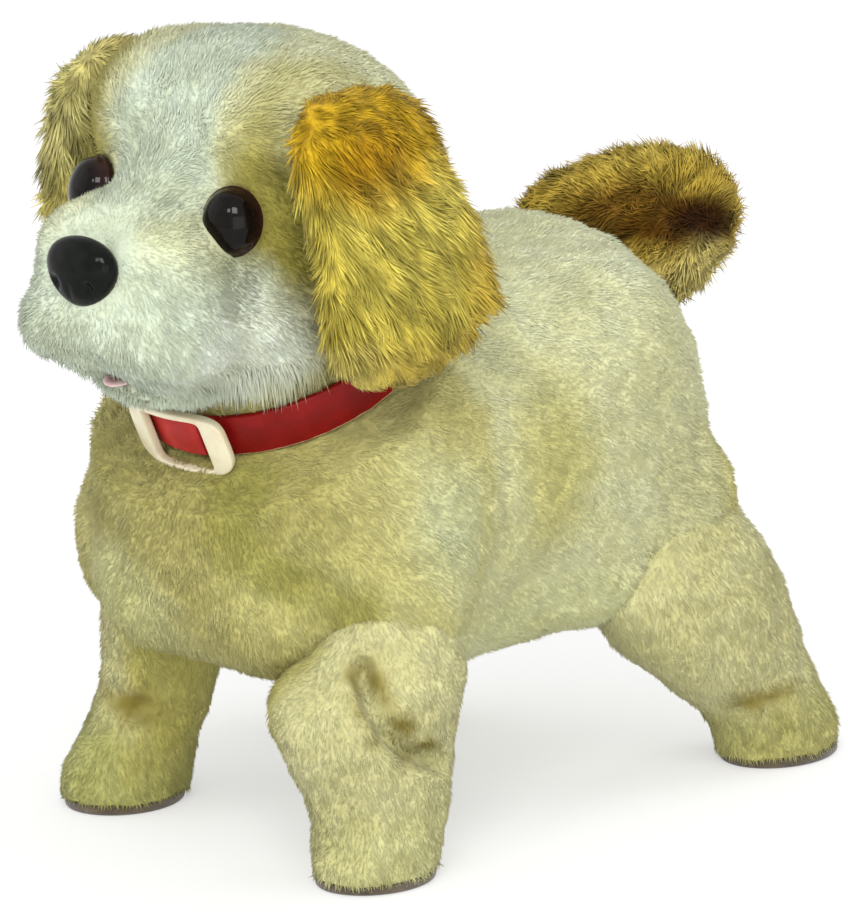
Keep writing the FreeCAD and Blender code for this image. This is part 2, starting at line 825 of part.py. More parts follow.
def place_gears():
    """Where the shafts stand, and how far each gear is turned so that its teeth mesh at rest."""
    spots = {"final": (crank_y, axle_z, 0.0)}
    chain = (
        ("final", "second", "coarse_module", "final_gear_teeth", "second_pinion_teeth",
         "second_shaft_direction", "second_gear_teeth"),
        ("second", "first", "fine_module", "second_gear_teeth", "first_pinion_teeth",
         "first_shaft_direction", "first_gear_teeth"),
        ("first", "motor", "fine_module", "first_gear_teeth", "motor_pinion_teeth",
         "motor_direction", "motor_pinion_teeth"),
    )
    for driven, driver, module, teeth, pinion_teeth, direction, _ in chain:
        y, z, turn = spots[driven]
        heading = size(direction)
        pitch = 360 / size(teeth)
        share = ((heading - turn) / pitch) % 1
        pinion_turn = heading + 180 + (share - 0.5) * 360 / size(pinion_teeth)
        spots[driver] = (*polar(y, z, mesh_distance(module, teeth, pinion_teeth), heading), pinion_turn)
    return spots


GEAR_SPOTS = place_gears()


def toothed_disc(module_name, teeth_name, spot, x_low, x_high):
    """A spur gear with straight-sided teeth, one of them centred on the spot's turn."""
    module = size(module_name)
    teeth = int(size(teeth_name))
    y, z, turn = GEAR_SPOTS[spot]
    pitch_radius = module * teeth / 2
    play = size("tooth_play")
    tip = pitch_radius + size("tooth_addendum") * module
    root = pitch_radius - size("tooth_dedendum") * module
    half_pitch = math.pi * module / 4 - play
    flare = math.tan(math.radians(size("tooth_flank_angle")))
    corners = []
    for tooth in range(teeth):
        middle = math.radians(turn + 360 * tooth / teeth)
        for radius, edge in ((root, -1), (tip, -1), (tip, 1), (root, 1)):
            half = half_pitch - (radius - pitch_radius) * flare
            half = min(half, size("root_share") * math.pi * root / teeth)
            angle = middle + edge * half / radius
            corners.append(Vector(x_low, y + radius * math.cos(angle), z + radius * math.sin(angle)))
    outline = Part.Face(Part.makePolygon(corners + corners[:1]))
    return feature("teeth", outline.extrude(Vector(x_high - x_low, 0, 0)))


def spot_rod(radius, x, spot):
    """A rod along X on one of the gear train's shafts."""
    y, z, _ = GEAR_SPOTS[spot]
    low, high = x
    return feature("rod", Part.makeCylinder(radius, high - low, Vector(low, y, z), Vector(1, 0, 0)))


def make_gears():
    bore = total("gear_shaft_radius", "running_fit")
    fine_in, fine_out = size("fine_in"), size("fine_out")
    middle_in, middle_out = size("middle_in"), size("middle_out")
    coarse_in, coarse_out = size("coarse_in"), size("coarse_out")
    over = size("overlap")
    keep(
        "motor_pinion",
        cut(
            toothed_disc("fine_module", "motor_pinion_teeth", "motor", fine_in, fine_out),
            spot_rod(size("gear_shaft_radius"), (fine_in - over, fine_out + over), "motor"),
        ),
    )
    keep(
        "first_gear",
        cut(
            fuse(
                toothed_disc("fine_module", "first_gear_teeth", "first", fine_in, fine_out),
                toothed_disc("fine_module", "first_pinion_teeth", "first", fine_out, middle_out),
            ),
            spot_rod(bore, (fine_in - over, middle_out + over), "first"),
        ),
    )
    keep(
        "second_gear",
        cut(
            fuse(
                toothed_disc("fine_module", "second_gear_teeth", "second", middle_in, middle_out),
                toothed_disc("coarse_module", "second_pinion_teeth", "second", middle_out, coarse_out),
            ),
            spot_rod(bore, (middle_in - over, coarse_out + over), "second"),
        ),
    )
    keep(
        "final_gear",
        cut(
            toothed_disc("coarse_module", "final_gear_teeth", "final", coarse_in, coarse_out),
            rod("sizes.crankshaft_radius", THROUGH, CRANK_Y, AXLE_Z),
        ),
    )
    between = (size("plate_place"), size("far_plate_out"))
    shafts = [spot_rod(size("gear_shaft_radius"), between, spot) for spot in ("first", "second")]
    group("gear_shafts", shafts)


def make_gearbox():
    """Two plates and their posts, which carry the gear shafts and the motor."""
    outline = [
        ("places.plate_front", "places.plate_low"),
        ("places.plate_step", "places.plate_low"),
        ("places.plate_step", "places.plate_foot"),
        ("places.plate_back", "places.plate_foot"),
        ("places.plate_back", "places.plate_top"),
        ("places.plate_front", "places.plate_top"),
    ]
    reach = (0, size("cut_reach"))
    for label, low, high in (
        ("right_gearbox_plate", "sizes.plate_place", "places.plate_in"),
        ("left_gearbox_plate", "places.far_plate_in", "places.far_plate_out"),
    ):
        holes = [
            rod("sizes.crankshaft_radius + sizes.running_fit", THROUGH, CRANK_Y, AXLE_Z),
            spot_rod(size("gear_shaft_radius"), reach, "first"),
            spot_rod(size("gear_shaft_radius"), reach, "second"),
        ]
        if low == "sizes.plate_place":
            holes.append(spot_rod(size("motor_boss_radius"), reach, "motor"))
        keep(label, cut(prism("plate", outline, low, high), *holes))
    between = ("places.plate_in", "places.far_plate_in")
    posts = [rod("sizes.plate_post_radius", between, y, z) for y, z in PLATE_POSTS]
    group("gearbox_posts", posts)


def make_motor():
    """A small can motor with two flats, its boss in the right plate and its shaft through it."""
    y, z, _ = GEAR_SPOTS["motor"]
    face = size("plate_place")
    can = spot_rod(size("motor_radius"), (face - size("motor_length"), face), "motor")
    flats = feature(
        "flats",
        Part.makeBox(
            size("motor_length"),
            2 * size("motor_radius"),
            2 * size("motor_flat"),
            Vector(face - size("motor_length"), y - size("motor_radius"), z - size("motor_flat")),
        ),
    )
    boss = spot_rod(size("motor_boss_radius"), (face, face + size("motor_boss_height")), "motor")
    shaft = spot_rod(size("gear_shaft_radius"), (face, size("fine_out") + size("side_gap")), "motor")
    keep("drive_motor", fuse(common(can, flats), boss, shaft))


# ---------------------------------------------------------------- crankshaft and cranks
def make_crank(label, sign, end):
    """A disc on the crankshaft's end, with the pin that works both of its side's levers."""
    pin_z = f"({AXLE_Z} + ({end}) * sizes.crank_throw)"
    disc = rod(
        "sizes.crank_throw + sizes.crank_pin_radius + sizes.crank_rim",
        on_side(sign, "places.disc_in", "places.disc_out"),
        CRANK_Y,
        AXLE_Z,
    )
    pin = rod(
        "sizes.crank_pin_radius",
        on_side(sign, "places.disc_out", "places.front_out + sizes.plush_gap"),
        CRANK_Y,
        pin_z,
    )
    bore = rod("sizes.crankshaft_radius", THROUGH, CRANK_Y, AXLE_Z)
    return keep(label, cut(fuse(disc, pin), bore))


# ---------------------------------------------------------------- legs
def ring_of(x, y, z, half_x, half_y):
    centre = Vector(x, y, z)
    return superellipse(centre, half_x, half_y, Vector(1, 0, 0), Vector(0, 1, 0), size("foot_shape"))


def foot_place(axle_y, lean):
    """How far along the dog a foot stands when its leg leans by so many degrees."""
    return axle_y + axle_z * math.tan(math.radians(lean))


def make_leg(name, sign, axle, reach, lever_way, lever_turn, lean, play, layer, top_length):
    """One leg: its moulding with lever, hub, shank and foot, its sole and its plush sleeve."""
    axle_y = size(axle)
    low, high = layer
    tip = f"({reach} + sizes.crank_throw + sizes.crank_pin_radius + sizes.slot_end_play)"
    heel = f"({reach} - sizes.crank_throw - sizes.crank_pin_radius - sizes.slot_end_play)"
    half_slot = f"(sizes.crank_pin_radius + sizes.{play})"
    half_plate = f"({half_slot} + sizes.lever_rim)"

    def reach_span(near, far):
        return (near, far) if lever_way > 0 else (f"-({far})", f"-({near})")

    plate_x = on_side(sign, low, high)
    plate = box(plate_x, reach_span("0", f"{tip} + sizes.lever_rim"), (f"-{half_plate}", half_plate))
    round_end = rod(half_plate, plate_x, "0", "0")
    ends = [f"{heel} + {half_slot}", f"{tip} - {half_slot}"]
    slot_x = on_side(sign, f"{low} - sizes.overlap", f"{high} + sizes.overlap")
    slot = [box(slot_x, reach_span(*ends), (f"-{half_slot}", half_slot))]
    for end in ends:
        slot.append(rod(half_slot, slot_x, end if lever_way > 0 else f"-({end})", "0"))
    lever = cut(fuse(plate, round_end), *slot)
    lever.Placement = Placement(Vector(), Rotation(Vector(1, 0, 0), lever_turn))
    bind(lever, {"Placement.Base.y": f"sizes.{axle}", "Placement.Base.z": AXLE_Z})

    hub = rod("sizes.hub_radius", on_side(sign, low, "places.hub_out"), f"sizes.{axle}", AXLE_Z)
    foot_x = sign * size("foot_spread")
    foot_y = foot_place(axle_y, lean)
    sole_top = size("sole_thickness")
    knee = Vector(sign * (shank_in + size("hub_reach") / 2), axle_y, axle_z)
    ankle = Vector(foot_x, foot_y, sole_top + size("foot_thickness") / 2)

    def shank(gap):
        way = ankle - knee
        return Part.makeCone(
            size("shank_top_radius") + gap, size("shank_foot_radius") + gap, way.Length, knee, way
        )

    def foot(gap):
        ring = ring_of(
            foot_x,
            foot_y,
            sole_top,
            size("paw_width") - size("foot_margin") + gap,
            size("paw_length") - size("foot_margin") + gap,
        )
        return Part.Face(ring).extrude(Vector(0, 0, size("foot_thickness") + gap))

    moulding = fuse(lever, hub, feature("shank", shank(0.0)), feature("foot", foot(0.0)))
    bore = rod("sizes.axle_radius + sizes.running_fit", THROUGH, f"sizes.{axle}", AXLE_Z)
    far = size("far_reach")
    under = feature("under", Part.makeBox(2 * far, 2 * far, far, Vector(-far, -far, sole_top - far)))
    keep(f"{name}_leg_frame", cut(moulding, bore, under))

    inset = size("sole_inset")
    sole_ring = ring_of(foot_x, foot_y, 0, size("paw_width") - inset, size("paw_length") - inset)
    keep(f"{name}_sole", feature("sole", Part.Face(sole_ring).extrude(Vector(0, 0, sole_top))))

    def centre(z):
        return axle_y + (foot_y - axle_y) * (axle_z - z) / axle_z

    levels = [
        (sole_top, size("paw_width"), size("paw_length")),
        (size("paw_height"), size("paw_width"), size("paw_length")),
        (size("sleeve_middle_height"), size("sleeve_middle_width"), size("sleeve_middle_length")),
        (size("sleeve_top_height"), size("sleeve_top_width"), size(top_length)),
    ]
    flat = size("paw_flat_height")
    rings = [
        ring_of(foot_x, centre(z) if z > flat else foot_y, z, half_x, half_y)
        for z, half_x, half_y in levels
    ]
    sleeve = feature("sleeve", loft(rings))
    gap = size("sleeve_gap")
    room = fuse(feature("shank_room", shank(gap)), feature("foot_room", foot(gap)))
    keep(f"{name}_leg_plush", cut(sleeve, room))
    return foot_y, centre(size("sleeve_top_height"))


# ---------------------------------------------------------------- power, sound and switch
def rod_y(radius, x, y, z):
    """A Part::Cylinder that lies along Y between two bound limits."""
    piece = doc.addObject("Part::Cylinder", "rod")
    piece.Placement = Placement(Vector(), Rotation(Vector(1, 0, 0), -90))
    bind(piece, {"Radius": radius, "Height": f"({y[1]}) - ({y[0]})"})
    return place(piece, x, y[0], z)


def make_power():
    """The battery bay, its two cells, the contacts and the screwed door beneath them."""
    floor = "places.housing_bottom"
    screw_top = f"{floor} + sizes.door_post_height"
    axis = ("0", "places.door_screw_place")
    bay = cut(
        fuse(
            box(
                ("-places.bay_half", "places.bay_half"),
                ("places.bay_front", "places.bay_back"),
                (floor, "places.bay_top"),
            ),
            post("sizes.screw_post_radius", *axis, (floor, screw_top)),
        ),
        box(
            ("-places.bay_half + sizes.bay_wall", "places.bay_half - sizes.bay_wall"),
            ("places.bay_front + sizes.bay_wall", "places.bay_back - sizes.bay_wall"),
            (f"{floor} - sizes.overlap", "places.bay_top - sizes.bay_wall"),
        ),
        post("sizes.screw_radius", *axis, (f"{floor} - sizes.overlap", f"{screw_top} - sizes.overlap")),
    )
    keep("battery_box", bay)

    start, end = "places.cell_front", "places.cell_back"
    cells = []
    contacts = []
    for sign in (1, -1):
        x = f"{sign} * places.cell_side"
        if sign > 0:
            can = (start, f"{end} - sizes.nub_height")
            nub = (f"{end} - sizes.nub_height", end)
        else:
            can = (f"{start} + sizes.nub_height", end)
            nub = (start, f"{start} + sizes.nub_height")
        cells.append(
            fuse(
                rod_y("sizes.cell_radius", x, can, "places.cell_height"),
                rod_y("sizes.nub_radius", x, nub, "places.cell_height"),
            )
        )
        wide = (f"{x} - sizes.contact_half", f"{x} + sizes.contact_half")
        tall = ("places.cell_height - sizes.contact_half", "places.cell_height + sizes.contact_half")
        near = f"{start} - sizes.contact_stand"
        far = f"{end} + sizes.contact_stand"
        leaf_spans = ((near, f"{near} + sizes.contact_thickness"), (f"{far} - sizes.contact_thickness", far))
        for leaf, spring in zip(leaf_spans, ((near, start), (end, far))):
            contacts.append(
                fuse(
                    box(wide, leaf, tall),
                    rod_y("sizes.nub_radius", x, spring, "places.cell_height"),
                )
            )
    group("cells", cells)
    group("battery_contacts", contacts)

    inside = "places.bay_half - sizes.bay_wall - sizes.door_fit"
    door = fuse(
        box(
            ("-places.door_half", "places.door_half"),
            ("places.door_front", "places.door_back"),
            ("places.door_low", floor),
        ),
        box(
            (f"-({inside})", inside),
            (
                "places.bay_front + sizes.bay_wall + sizes.door_fit",
                "places.bay_back - sizes.bay_wall - sizes.door_fit",
            ),
            ("places.door_low", f"{floor} + sizes.door_rib"),
        ),
    )
    under = "places.door_low - sizes.overlap"
    sunk = "places.door_low + sizes.door_screw_sink"
    hole = post("sizes.screw_radius", *axis, (under, f"{floor} + sizes.overlap"))
    sink = post("sizes.screw_head_radius", *axis, (under, sunk))
    keep("battery_cover", cut(door, hole, sink))
    keep(
        "battery_cover_screw",
        fuse(
            post("sizes.screw_radius", *axis, ("places.door_low", f"{screw_top} - sizes.door_screw_gap")),
            post("sizes.screw_head_radius", *axis, ("places.door_low - sizes.door_screw_stand", sunk)),
        ),
    )


def make_sound():
    """The sound board on its two stand-offs, and the loudspeaker behind the front wall's opening."""
    board_in = "(-places.inner_side + sizes.board_stand)"
    board_out = f"({board_in} + sizes.board_thickness)"
    keep(
        "sound_board",
        fuse(
            box(
                (board_in, board_out),
                ("places.board_place", "places.board_place + sizes.board_length"),
                ("places.board_low", "places.board_low + sizes.board_height"),
            ),
            box(
                (board_out, f"{board_out} + sizes.chip_thickness"),
                (
                    "places.board_place + sizes.chip_inset",
                    "places.board_place + sizes.chip_inset + sizes.chip_size",
                ),
                (
                    "places.board_low + sizes.chip_inset",
                    "places.board_low + sizes.chip_inset + sizes.chip_size",
                ),
            ),
        ),
    )
    start = "(places.housing_front + sizes.housing_wall)"
    deep = (start, f"{start} + sizes.speaker_depth")
    frame = rod_y("sizes.speaker_radius", "0", deep, "places.speaker_height")
    cone = doc.addObject("Part::Cone", "cone")
    cone.Placement = Placement(Vector(), Rotation(Vector(1, 0, 0), -90))
    bind(
        cone,
        {
            "Radius1": "sizes.speaker_radius - sizes.speaker_rim",
            "Radius2": "sizes.speaker_radius / 2",
            "Height": "sizes.speaker_depth / 2",
            "Placement.Base.y": start,
            "Placement.Base.z": "places.speaker_height",
        },
    )
    keep("loudspeaker", cut(frame, cone))


def make_switch():
    """The slide switch on the housing's floor and its knob, which reaches out of the belly."""
    top = "places.housing_floor"
    middle = "(places.switch_place + sizes.switch_travel / 2)"
    keep(
        "power_switch",
        box(
            ("-sizes.switch_width / 2", "sizes.switch_width / 2"),
            (f"{middle} - sizes.switch_length / 2", f"{middle} + sizes.switch_length / 2"),
            (top, f"{top} + sizes.switch_depth"),
        ),
    )
    keep(
        "switch_knob",
        box(
            ("-sizes.knob_width / 2", "sizes.knob_width / 2"),
            (
                "places.switch_place - sizes.knob_length / 2",
                "places.switch_place + sizes.knob_length / 2",
            ),
            ("places.housing_bottom - sizes.knob_reach", f"{top} - sizes.knob_play"),
        ),
    )


# ---------------------------------------------------------------- torso cover
def block(x, y, z):
    """A box whose limits are worked out from the sizes by a formula."""
    corner = Vector(x[0], y[0], z[0])
    return feature("room", Part.makeBox(x[1] - x[0], y[1] - y[0], z[1] - z[0], corner))


def lean(piece, y, z):
    """Stands a piece in the neck's leaning frame, at bound places along that frame's Y and Z."""
    piece.Placement = Placement(Vector(), Rotation(Vector(1, 0, 0), size("neck_tilt")))
    tilt = "sizes.neck_tilt"
    bind(
        piece,
        {
            "Placement.Base.y": f"places.neck_place + ({y}) * cos({tilt}) - ({z}) * sin({tilt})",
            "Placement.Base.z": f"places.neck_height + ({y}) * sin({tilt}) + ({z}) * cos({tilt})",
        },
    )
    return piece


def leaning_cylinder(radius, low, high):
    piece = doc.addObject("Part::Cylinder", "neck")
    bind(piece, {"Radius": radius, "Height": f"({high}) - ({low})"})
    return lean(piece, "0", low)


def leaning_box(half_x, y, z):
    piece = doc.addObject("Part::Box", "leaning_block")
    bind(
        piece,
        {
            "Length": f"2 * ({half_x})",
            "Width": f"({y[1]}) - ({y[0]})",
            "Height": f"({z[1]}) - ({z[0]})",
            "Placement.Base.x": f"-({half_x})",
        },
    )
    lean(piece, y[0], z[0])
    piece.setExpression("Placement.Base.x", f"-({half_x})")
    return piece


def neck_block_room():
    """The space round the neck block, wide enough for the skull's lugs beside it."""
    half = "(places.lug_out + sizes.neck_block_room - sizes.side_gap)"
    reach = "sizes.neck_block_room_length"
    tall = ("places.housing_top - sizes.overlap", "places.nod_height + sizes.skull_opening_over")
    return box((f"-{half}", half), (f"places.nod_place - {reach}", f"places.nod_place + {reach}"), tall)


def swing_room(axle_y, foot_y, top_y, half_top, swing):
    """Limits along Y, and the top, of what a leg's sleeve sweeps as it swings to and fro."""
    top_z = size("sleeve_top_height")
    corners = [(top_y - half_top, top_z), (top_y + half_top, top_z)]
    low_z = size("housing_bottom") - size("swing_low")
    corners += [(foot_y + way * size("paw_length"), low_z) for way in (-1, 1)]
    reach = []
    steps = 8
    for step in range(-steps, steps + 1):
        angle = math.radians(swing * step / steps)
        for y, z in corners:
            dy, dz = y - axle_y, z - axle_z
            reach.append((
                axle_y + dy * math.cos(angle) - dz * math.sin(angle),
                axle_z + dy * math.sin(angle) + dz * math.cos(angle),
            ))
    gap = size("swing_room")
    return min(y for y, _ in reach) - gap, max(y for y, _ in reach) + gap, max(z for _, z in reach) + gap


def make_torso(legs):
    rings = []
    for number, (end, *_) in enumerate(TORSO, start=1):
        y = size(f"housing_{end}") + size(f"torso_offset_{number}")
        z = axle_z + size(f"torso_rise_{number}")
        half_x, half_z = size(f"torso_half_width_{number}"), size(f"torso_half_height_{number}")
        along_x, along_z = Vector(1, 0, 0), Vector(0, 0, 1)
        rings.append(superellipse(Vector(0, y, z), half_x, half_z, along_x, along_z, size("torso_shape")))
    haunches = []
    for end, axle in (("haunch", "hip_place"), ("shoulder", "shoulder_place")):
        for sign in (1, -1):
            haunches.append(
                ellipsoid(
                    f"sizes.{end}_half_width",
                    f"sizes.{end}_half_length",
                    f"sizes.{end}_half_height",
                    f"{sign} * sizes.{end}_spread",
                    f"sizes.{axle} + sizes.{end}_shift",
                    f"places.{end}_height",
                )
            )
    whole = fuse(feature("torso", loft(rings)), *haunches)
    below = "-sizes.strap_width / 2 - sizes.neck_shape_gap"
    across_all = ("-sizes.far_reach", "sizes.far_reach")
    trimmed = cut(whole, leaning_box("sizes.far_reach", across_all, (below, "sizes.far_reach")))
    above = "sizes.strap_width / 2 + sizes.neck_shape_gap"
    neck = leaning_cylinder("sizes.neck_radius", "-sizes.neck_depth", above)
    solid = fuse(trimmed, neck)

    margin = "sizes.plush_gap"
    half = f"sizes.housing_half_width + {margin}"
    rooms = [prism("room", housing_outline(margin), f"-({half})", half)]
    underneath = ("0", "places.housing_bottom + sizes.overlap")
    rooms.append(
        box(
            (f"-places.door_half - {margin}", f"places.door_half + {margin}"),
            (f"places.door_front - {margin}", f"places.door_back + {margin}"),
            underneath,
        )
    )
    rooms.append(
        box(
            ("-sizes.knob_width - sizes.knob_room", "sizes.knob_width + sizes.knob_room"),
            (
                "places.switch_place - sizes.knob_length",
                "places.switch_place + sizes.knob_length + sizes.switch_travel",
            ),
            underneath,
        )
    )
    lever_tip = total("hind_lever_reach", "crank_throw", "crank_pin_radius", "slot_end_play", "lever_rim")
    half_plate = total("crank_pin_radius", "hind_pin_play", "lever_rim")
    lever_half = lever_tip * math.sin(math.radians(hind_swing)) + half_plate + size("lever_room")
    lever_out = shank_in + size("lever_side_room")
    hub = total("hub_radius", "lever_room")
    axles = {"front": shoulder_y, "hind": hip_y}
    for sign in (1, -1):
        def across(low, high):
            return (low, high) if sign > 0 else (-high, -low)

        rooms.append(
            block(
                across(side - size("overlap"), lever_out),
                (shoulder_y - hub, hip_y + hub),
                (axle_z - lever_half, axle_z + lever_half),
            )
        )
        for end, axle_y in axles.items():
            swing = hind_swing if end == "hind" else front_swing
            lowest = axle_z - size("hub_room_under")
            drop = (axle_z - lowest) * math.sin(math.radians(swing + size(f"{end}_rake")))
            half = max(hub, drop + size("shank_foot_radius") + size("lever_room"))
            rooms.append(
                block(
                    across(side, axle_end + size("lever_room")),
                    (axle_y - half, axle_y + half),
                    (lowest, axle_z + hub),
                )
            )
            foot_y, top_y = legs[end, sign]
            half_top = size(f"{end}_sleeve_length")
            turn = -2 * swing if (end == "hind") == (sign > 0) else 2 * swing
            low_y, high_y, top = swing_room(axle_y, foot_y, top_y, half_top, turn)
            rooms.append(block(across(side + size("overlap"), size("far_reach")), (low_y, high_y), (0, top)))
    rooms.append(neck_block_room())
    rooms.append(
        rod_y(
            "sizes.tail_room_radius",
            "0",
            ("places.housing_back - sizes.overlap", "sizes.far_reach"),
            "places.tail_axis_height + sizes.tail_room_rise",
        )
    )
    rooms.append(
        sphere("sizes.skull_radius + sizes.nod_gap", "0", "places.head_place", "places.skull_height")
    )
    rooms.append(
        leaning_box(
            "sizes.buckle_length / 2 + sizes.buckle_room",
            ("-sizes.far_reach", "-places.strap_outer + sizes.buckle_room"),
            ("-sizes.buckle_height / 2 - sizes.buckle_room", "sizes.buckle_height"),
        )
    )
    keep("body_plush", cut(solid, *rooms))


def make_collar():
    """A red strap round the neck, and its buckle."""
    half = "sizes.strap_width / 2"
    strap = leaning_cylinder("places.strap_outer", f"-{half}", half)
    keep("collar_strap", cut(strap, leaning_cylinder("places.strap_inner", *THROUGH)))
    face = "-places.strap_outer - sizes.buckle_gap"
    buckle = cut(
        leaning_box("sizes.buckle_length / 2", (f"{face} - sizes.buckle_thickness", face),
                    ("-sizes.buckle_height / 2", "sizes.buckle_height / 2")),
        leaning_box("sizes.buckle_length / 2 - sizes.buckle_bar", ("-sizes.cut_reach", "0"),
                    ("-sizes.buckle_height / 2 + sizes.buckle_bar", "sizes.buckle_height / 2"
                     " - sizes.buckle_bar")),
    )
    keep("collar_buckle", buckle)


# ---------------------------------------------------------------- head
def head_forms(margin):
    """The cranium, the cheeks and the muzzle, each grown by a margin expression."""
    return [
        ellipsoid(
            f"sizes.{form}_half_width + {margin}",
            f"sizes.{form}_half_length + {margin}",
            f"sizes.{form}_half_height + {margin}",
            "0",
            f"places.{form}_place",
            f"places.{form}_height",
        )
        for form in ("head", "cheek", "muzzle")
    ]


def sphere(radius, x, y, z):
    piece = doc.addObject("Part::Sphere", "sphere")
    bind(piece, {"Radius": radius})
    return place(piece, x, y, z)


def make_skull():
    """The hard head shell in two halves, with lugs for the neck pin and arms for the jaw pin."""
    centre = ("0", "places.head_place", "places.skull_height")
    hollow = sphere("sizes.skull_radius - sizes.skull_wall", *centre)
    shell = cut(sphere("sizes.skull_radius", *centre), hollow)
    half_block = "sizes.neck_block_width / 2"
    nod = ("places.nod_place", "places.nod_height")
    opening = box(
        ("-places.lug_in", "places.lug_in"),
        (f"{nod[0]} - sizes.neck_block_length", f"{nod[0]} + sizes.neck_block_length"),
        ("places.housing_top", f"{nod[1]} + sizes.skull_opening_over"),
    )
    lugs = [
        box(
            on_side(sign, "places.lug_in", "places.lug_out"),
            (f"{nod[0]} - sizes.lug_reach", f"{nod[0]} + sizes.lug_reach"),
            (f"{nod[1]} - sizes.lug_reach", f"{nod[1]} + sizes.lug_over"),
        )
        for sign in (1, -1)
    ]
    pin_room = rod("sizes.neck_pin_radius + sizes.running_fit", THROUGH, *nod)
    everywhere = ("-sizes.far_reach", "sizes.far_reach")
    behind = box(everywhere, ("places.skull_split_place", "sizes.far_reach"), everywhere)
    ahead = box(everywhere, ("-sizes.far_reach", "places.skull_split_place"), everywhere)
    keep("skull_back", cut(common(fuse(cut(shell, opening), *lugs), behind), pin_room))

    axis = ("places.jaw_axis_place", "places.jaw_axis_height")
    arms = [
        box(
            on_side(sign, "places.jaw_arm_in", "places.jaw_arm_out"),
            (f"{axis[0]} - sizes.jaw_arm_length / 2", f"{axis[0]} + sizes.jaw_arm_length / 2"),
            (
                f"{axis[1]} - sizes.jaw_hub_radius - sizes.jaw_arm_under",
                f"{axis[1]} + sizes.jaw_arm_height",
            ),
        )
        for sign in (1, -1)
    ]
    jaw_hole = rod("sizes.jaw_pin_radius", THROUGH, *axis)
    keep("skull_front", cut(common(fuse(cut(shell, opening), *arms), ahead), hollow, jaw_hole))
    half_length = "sizes.neck_block_length / 2"
    keep(
        "neck_block",
        cut(
            box(
                (f"-{half_block}", half_block),
                (f"{nod[0]} - {half_length}", f"{nod[0]} + {half_length}"),
                ("places.housing_top", f"{nod[1]} + sizes.neck_block_over"),
            ),
            rod("sizes.neck_pin_radius", THROUGH, *nod),
        ),
    )
    reach = "places.lug_out + sizes.neck_pin_overhang"
    keep("neck_pin", rod("sizes.neck_pin_radius", (f"-({reach})", reach), *nod))


def washer(x, y, z):
    """A washer pressed on a stem that starts at this place."""
    span = (f"{y} + sizes.washer_place", f"{y} + sizes.washer_place + sizes.washer_thickness")
    hole = rod_y("sizes.stem_radius", x, ("-sizes.far_reach", "0"), z)
    return cut(rod_y("sizes.washer_radius", x, span, z), hole)


def make_face():
    """Eyes and nose on their stems, and the washers that hold them."""
    y, z = "places.eye_place", "places.eye_height"
    everywhere = ("-sizes.far_reach", "sizes.far_reach")
    washers = []
    for label, sign in (("left_eye", 1), ("right_eye", -1)):
        x = f"{sign} * sizes.eye_spread"
        ahead = box(everywhere, ("-sizes.far_reach", y), everywhere)
        dome = common(sphere("sizes.eye_radius", x, y, z), ahead)
        stem = rod_y("sizes.stem_radius", x, (f"{y} - sizes.overlap", f"{y} + sizes.stem_length"), z)
        keep(label, fuse(dome, stem))
        washers.append(washer(x, y, z))
    y, z = "places.nose_place", "places.nose_height"
    nose = ellipsoid("sizes.nose_half_width", "sizes.nose_half_depth", "sizes.nose_half_height", "0", y, z)
    keep("nose", fuse(nose, rod_y("sizes.stem_radius", "0", (y, f"{y} + places.nose_stem_length"), z)))
    washers.append(washer("0", f"({y} + sizes.nose_stem_extra)", z))
    group("face_washers", washers)


def stem_rooms(x, y, z, stem_end):
    """Room in the stuffing for a stem and its washer."""
    gap = "sizes.plush_gap"
    washer_start = f"{stem_end} - sizes.stem_length + sizes.washer_place"
    span = (f"{washer_start} - {gap}", f"{washer_start} + sizes.washer_thickness + {gap}")
    return [
        rod_y(f"sizes.stem_radius + {gap}", x, (y, f"{stem_end} + {gap}"), z),
        rod_y(f"sizes.washer_radius + {gap}", x, span, z),
    ]


def make_head():
    """The stuffed head with its rooms for the skull, jaw, eyes and nose, and the two ears."""
    gap = "sizes.plush_gap"
    all_ways = ("-sizes.far_reach", "sizes.far_reach")
    under_head = "sizes.strap_width / 2 + sizes.neck_shape_gap + sizes.nod_gap"
    axis = "places.jaw_axis_place"
    half = f"places.jaw_arm_out + {gap}"
    reach = "sizes.jaw_arm_length / 2 + sizes.jaw_arm_room"
    mouth_half = "sizes.jaw_half_width + sizes.jaw_room"
    rooms = [
        leaning_box("sizes.far_reach", all_ways, ("-sizes.far_reach", under_head)),
        sphere(f"sizes.skull_radius + {gap}", "0", "places.head_place", "places.skull_height"),
        neck_block_room(),
        box(
            (f"-({half})", half),
            (f"{axis} - ({reach})", f"{axis} + {reach}"),
            ("0", "places.jaw_axis_height + sizes.jaw_arm_height"),
        ),
        box(
            (f"-({mouth_half})", mouth_half),
            ("-sizes.far_reach", f"{axis} + sizes.jaw_hub_radius + sizes.jaw_arm_under"),
            ("0", "places.mouth_height"),
        ),
    ]
    y, z = "places.eye_place", "places.eye_height"
    for sign in (1, -1):
        x = f"{sign} * sizes.eye_spread"
        rooms.append(sphere(f"sizes.eye_radius + {gap}", x, y, z))
        rooms += stem_rooms(x, y, z, f"{y} + sizes.stem_length")
    y, z = "places.nose_place", "places.nose_height"
    halves = [f"sizes.nose_half_{way} + {gap}" for way in ("width", "depth", "height")]
    rooms.append(ellipsoid(*halves, "0", y, z))
    rooms += stem_rooms("0", y, z, f"{y} + places.nose_stem_length")
    keep("head_plush", cut(fuse(*head_forms("0")), *rooms))
    flap = ellipsoid(
        "sizes.ear_half_thickness",
        "sizes.ear_half_length",
        "sizes.ear_half_height",
        "places.ear_spread",
        "places.ear_place",
        "places.ear_height",
    )
    ear = keep("left_ear", cut(flap, *head_forms(gap)))
    keep("right_ear", mirrored(ear))


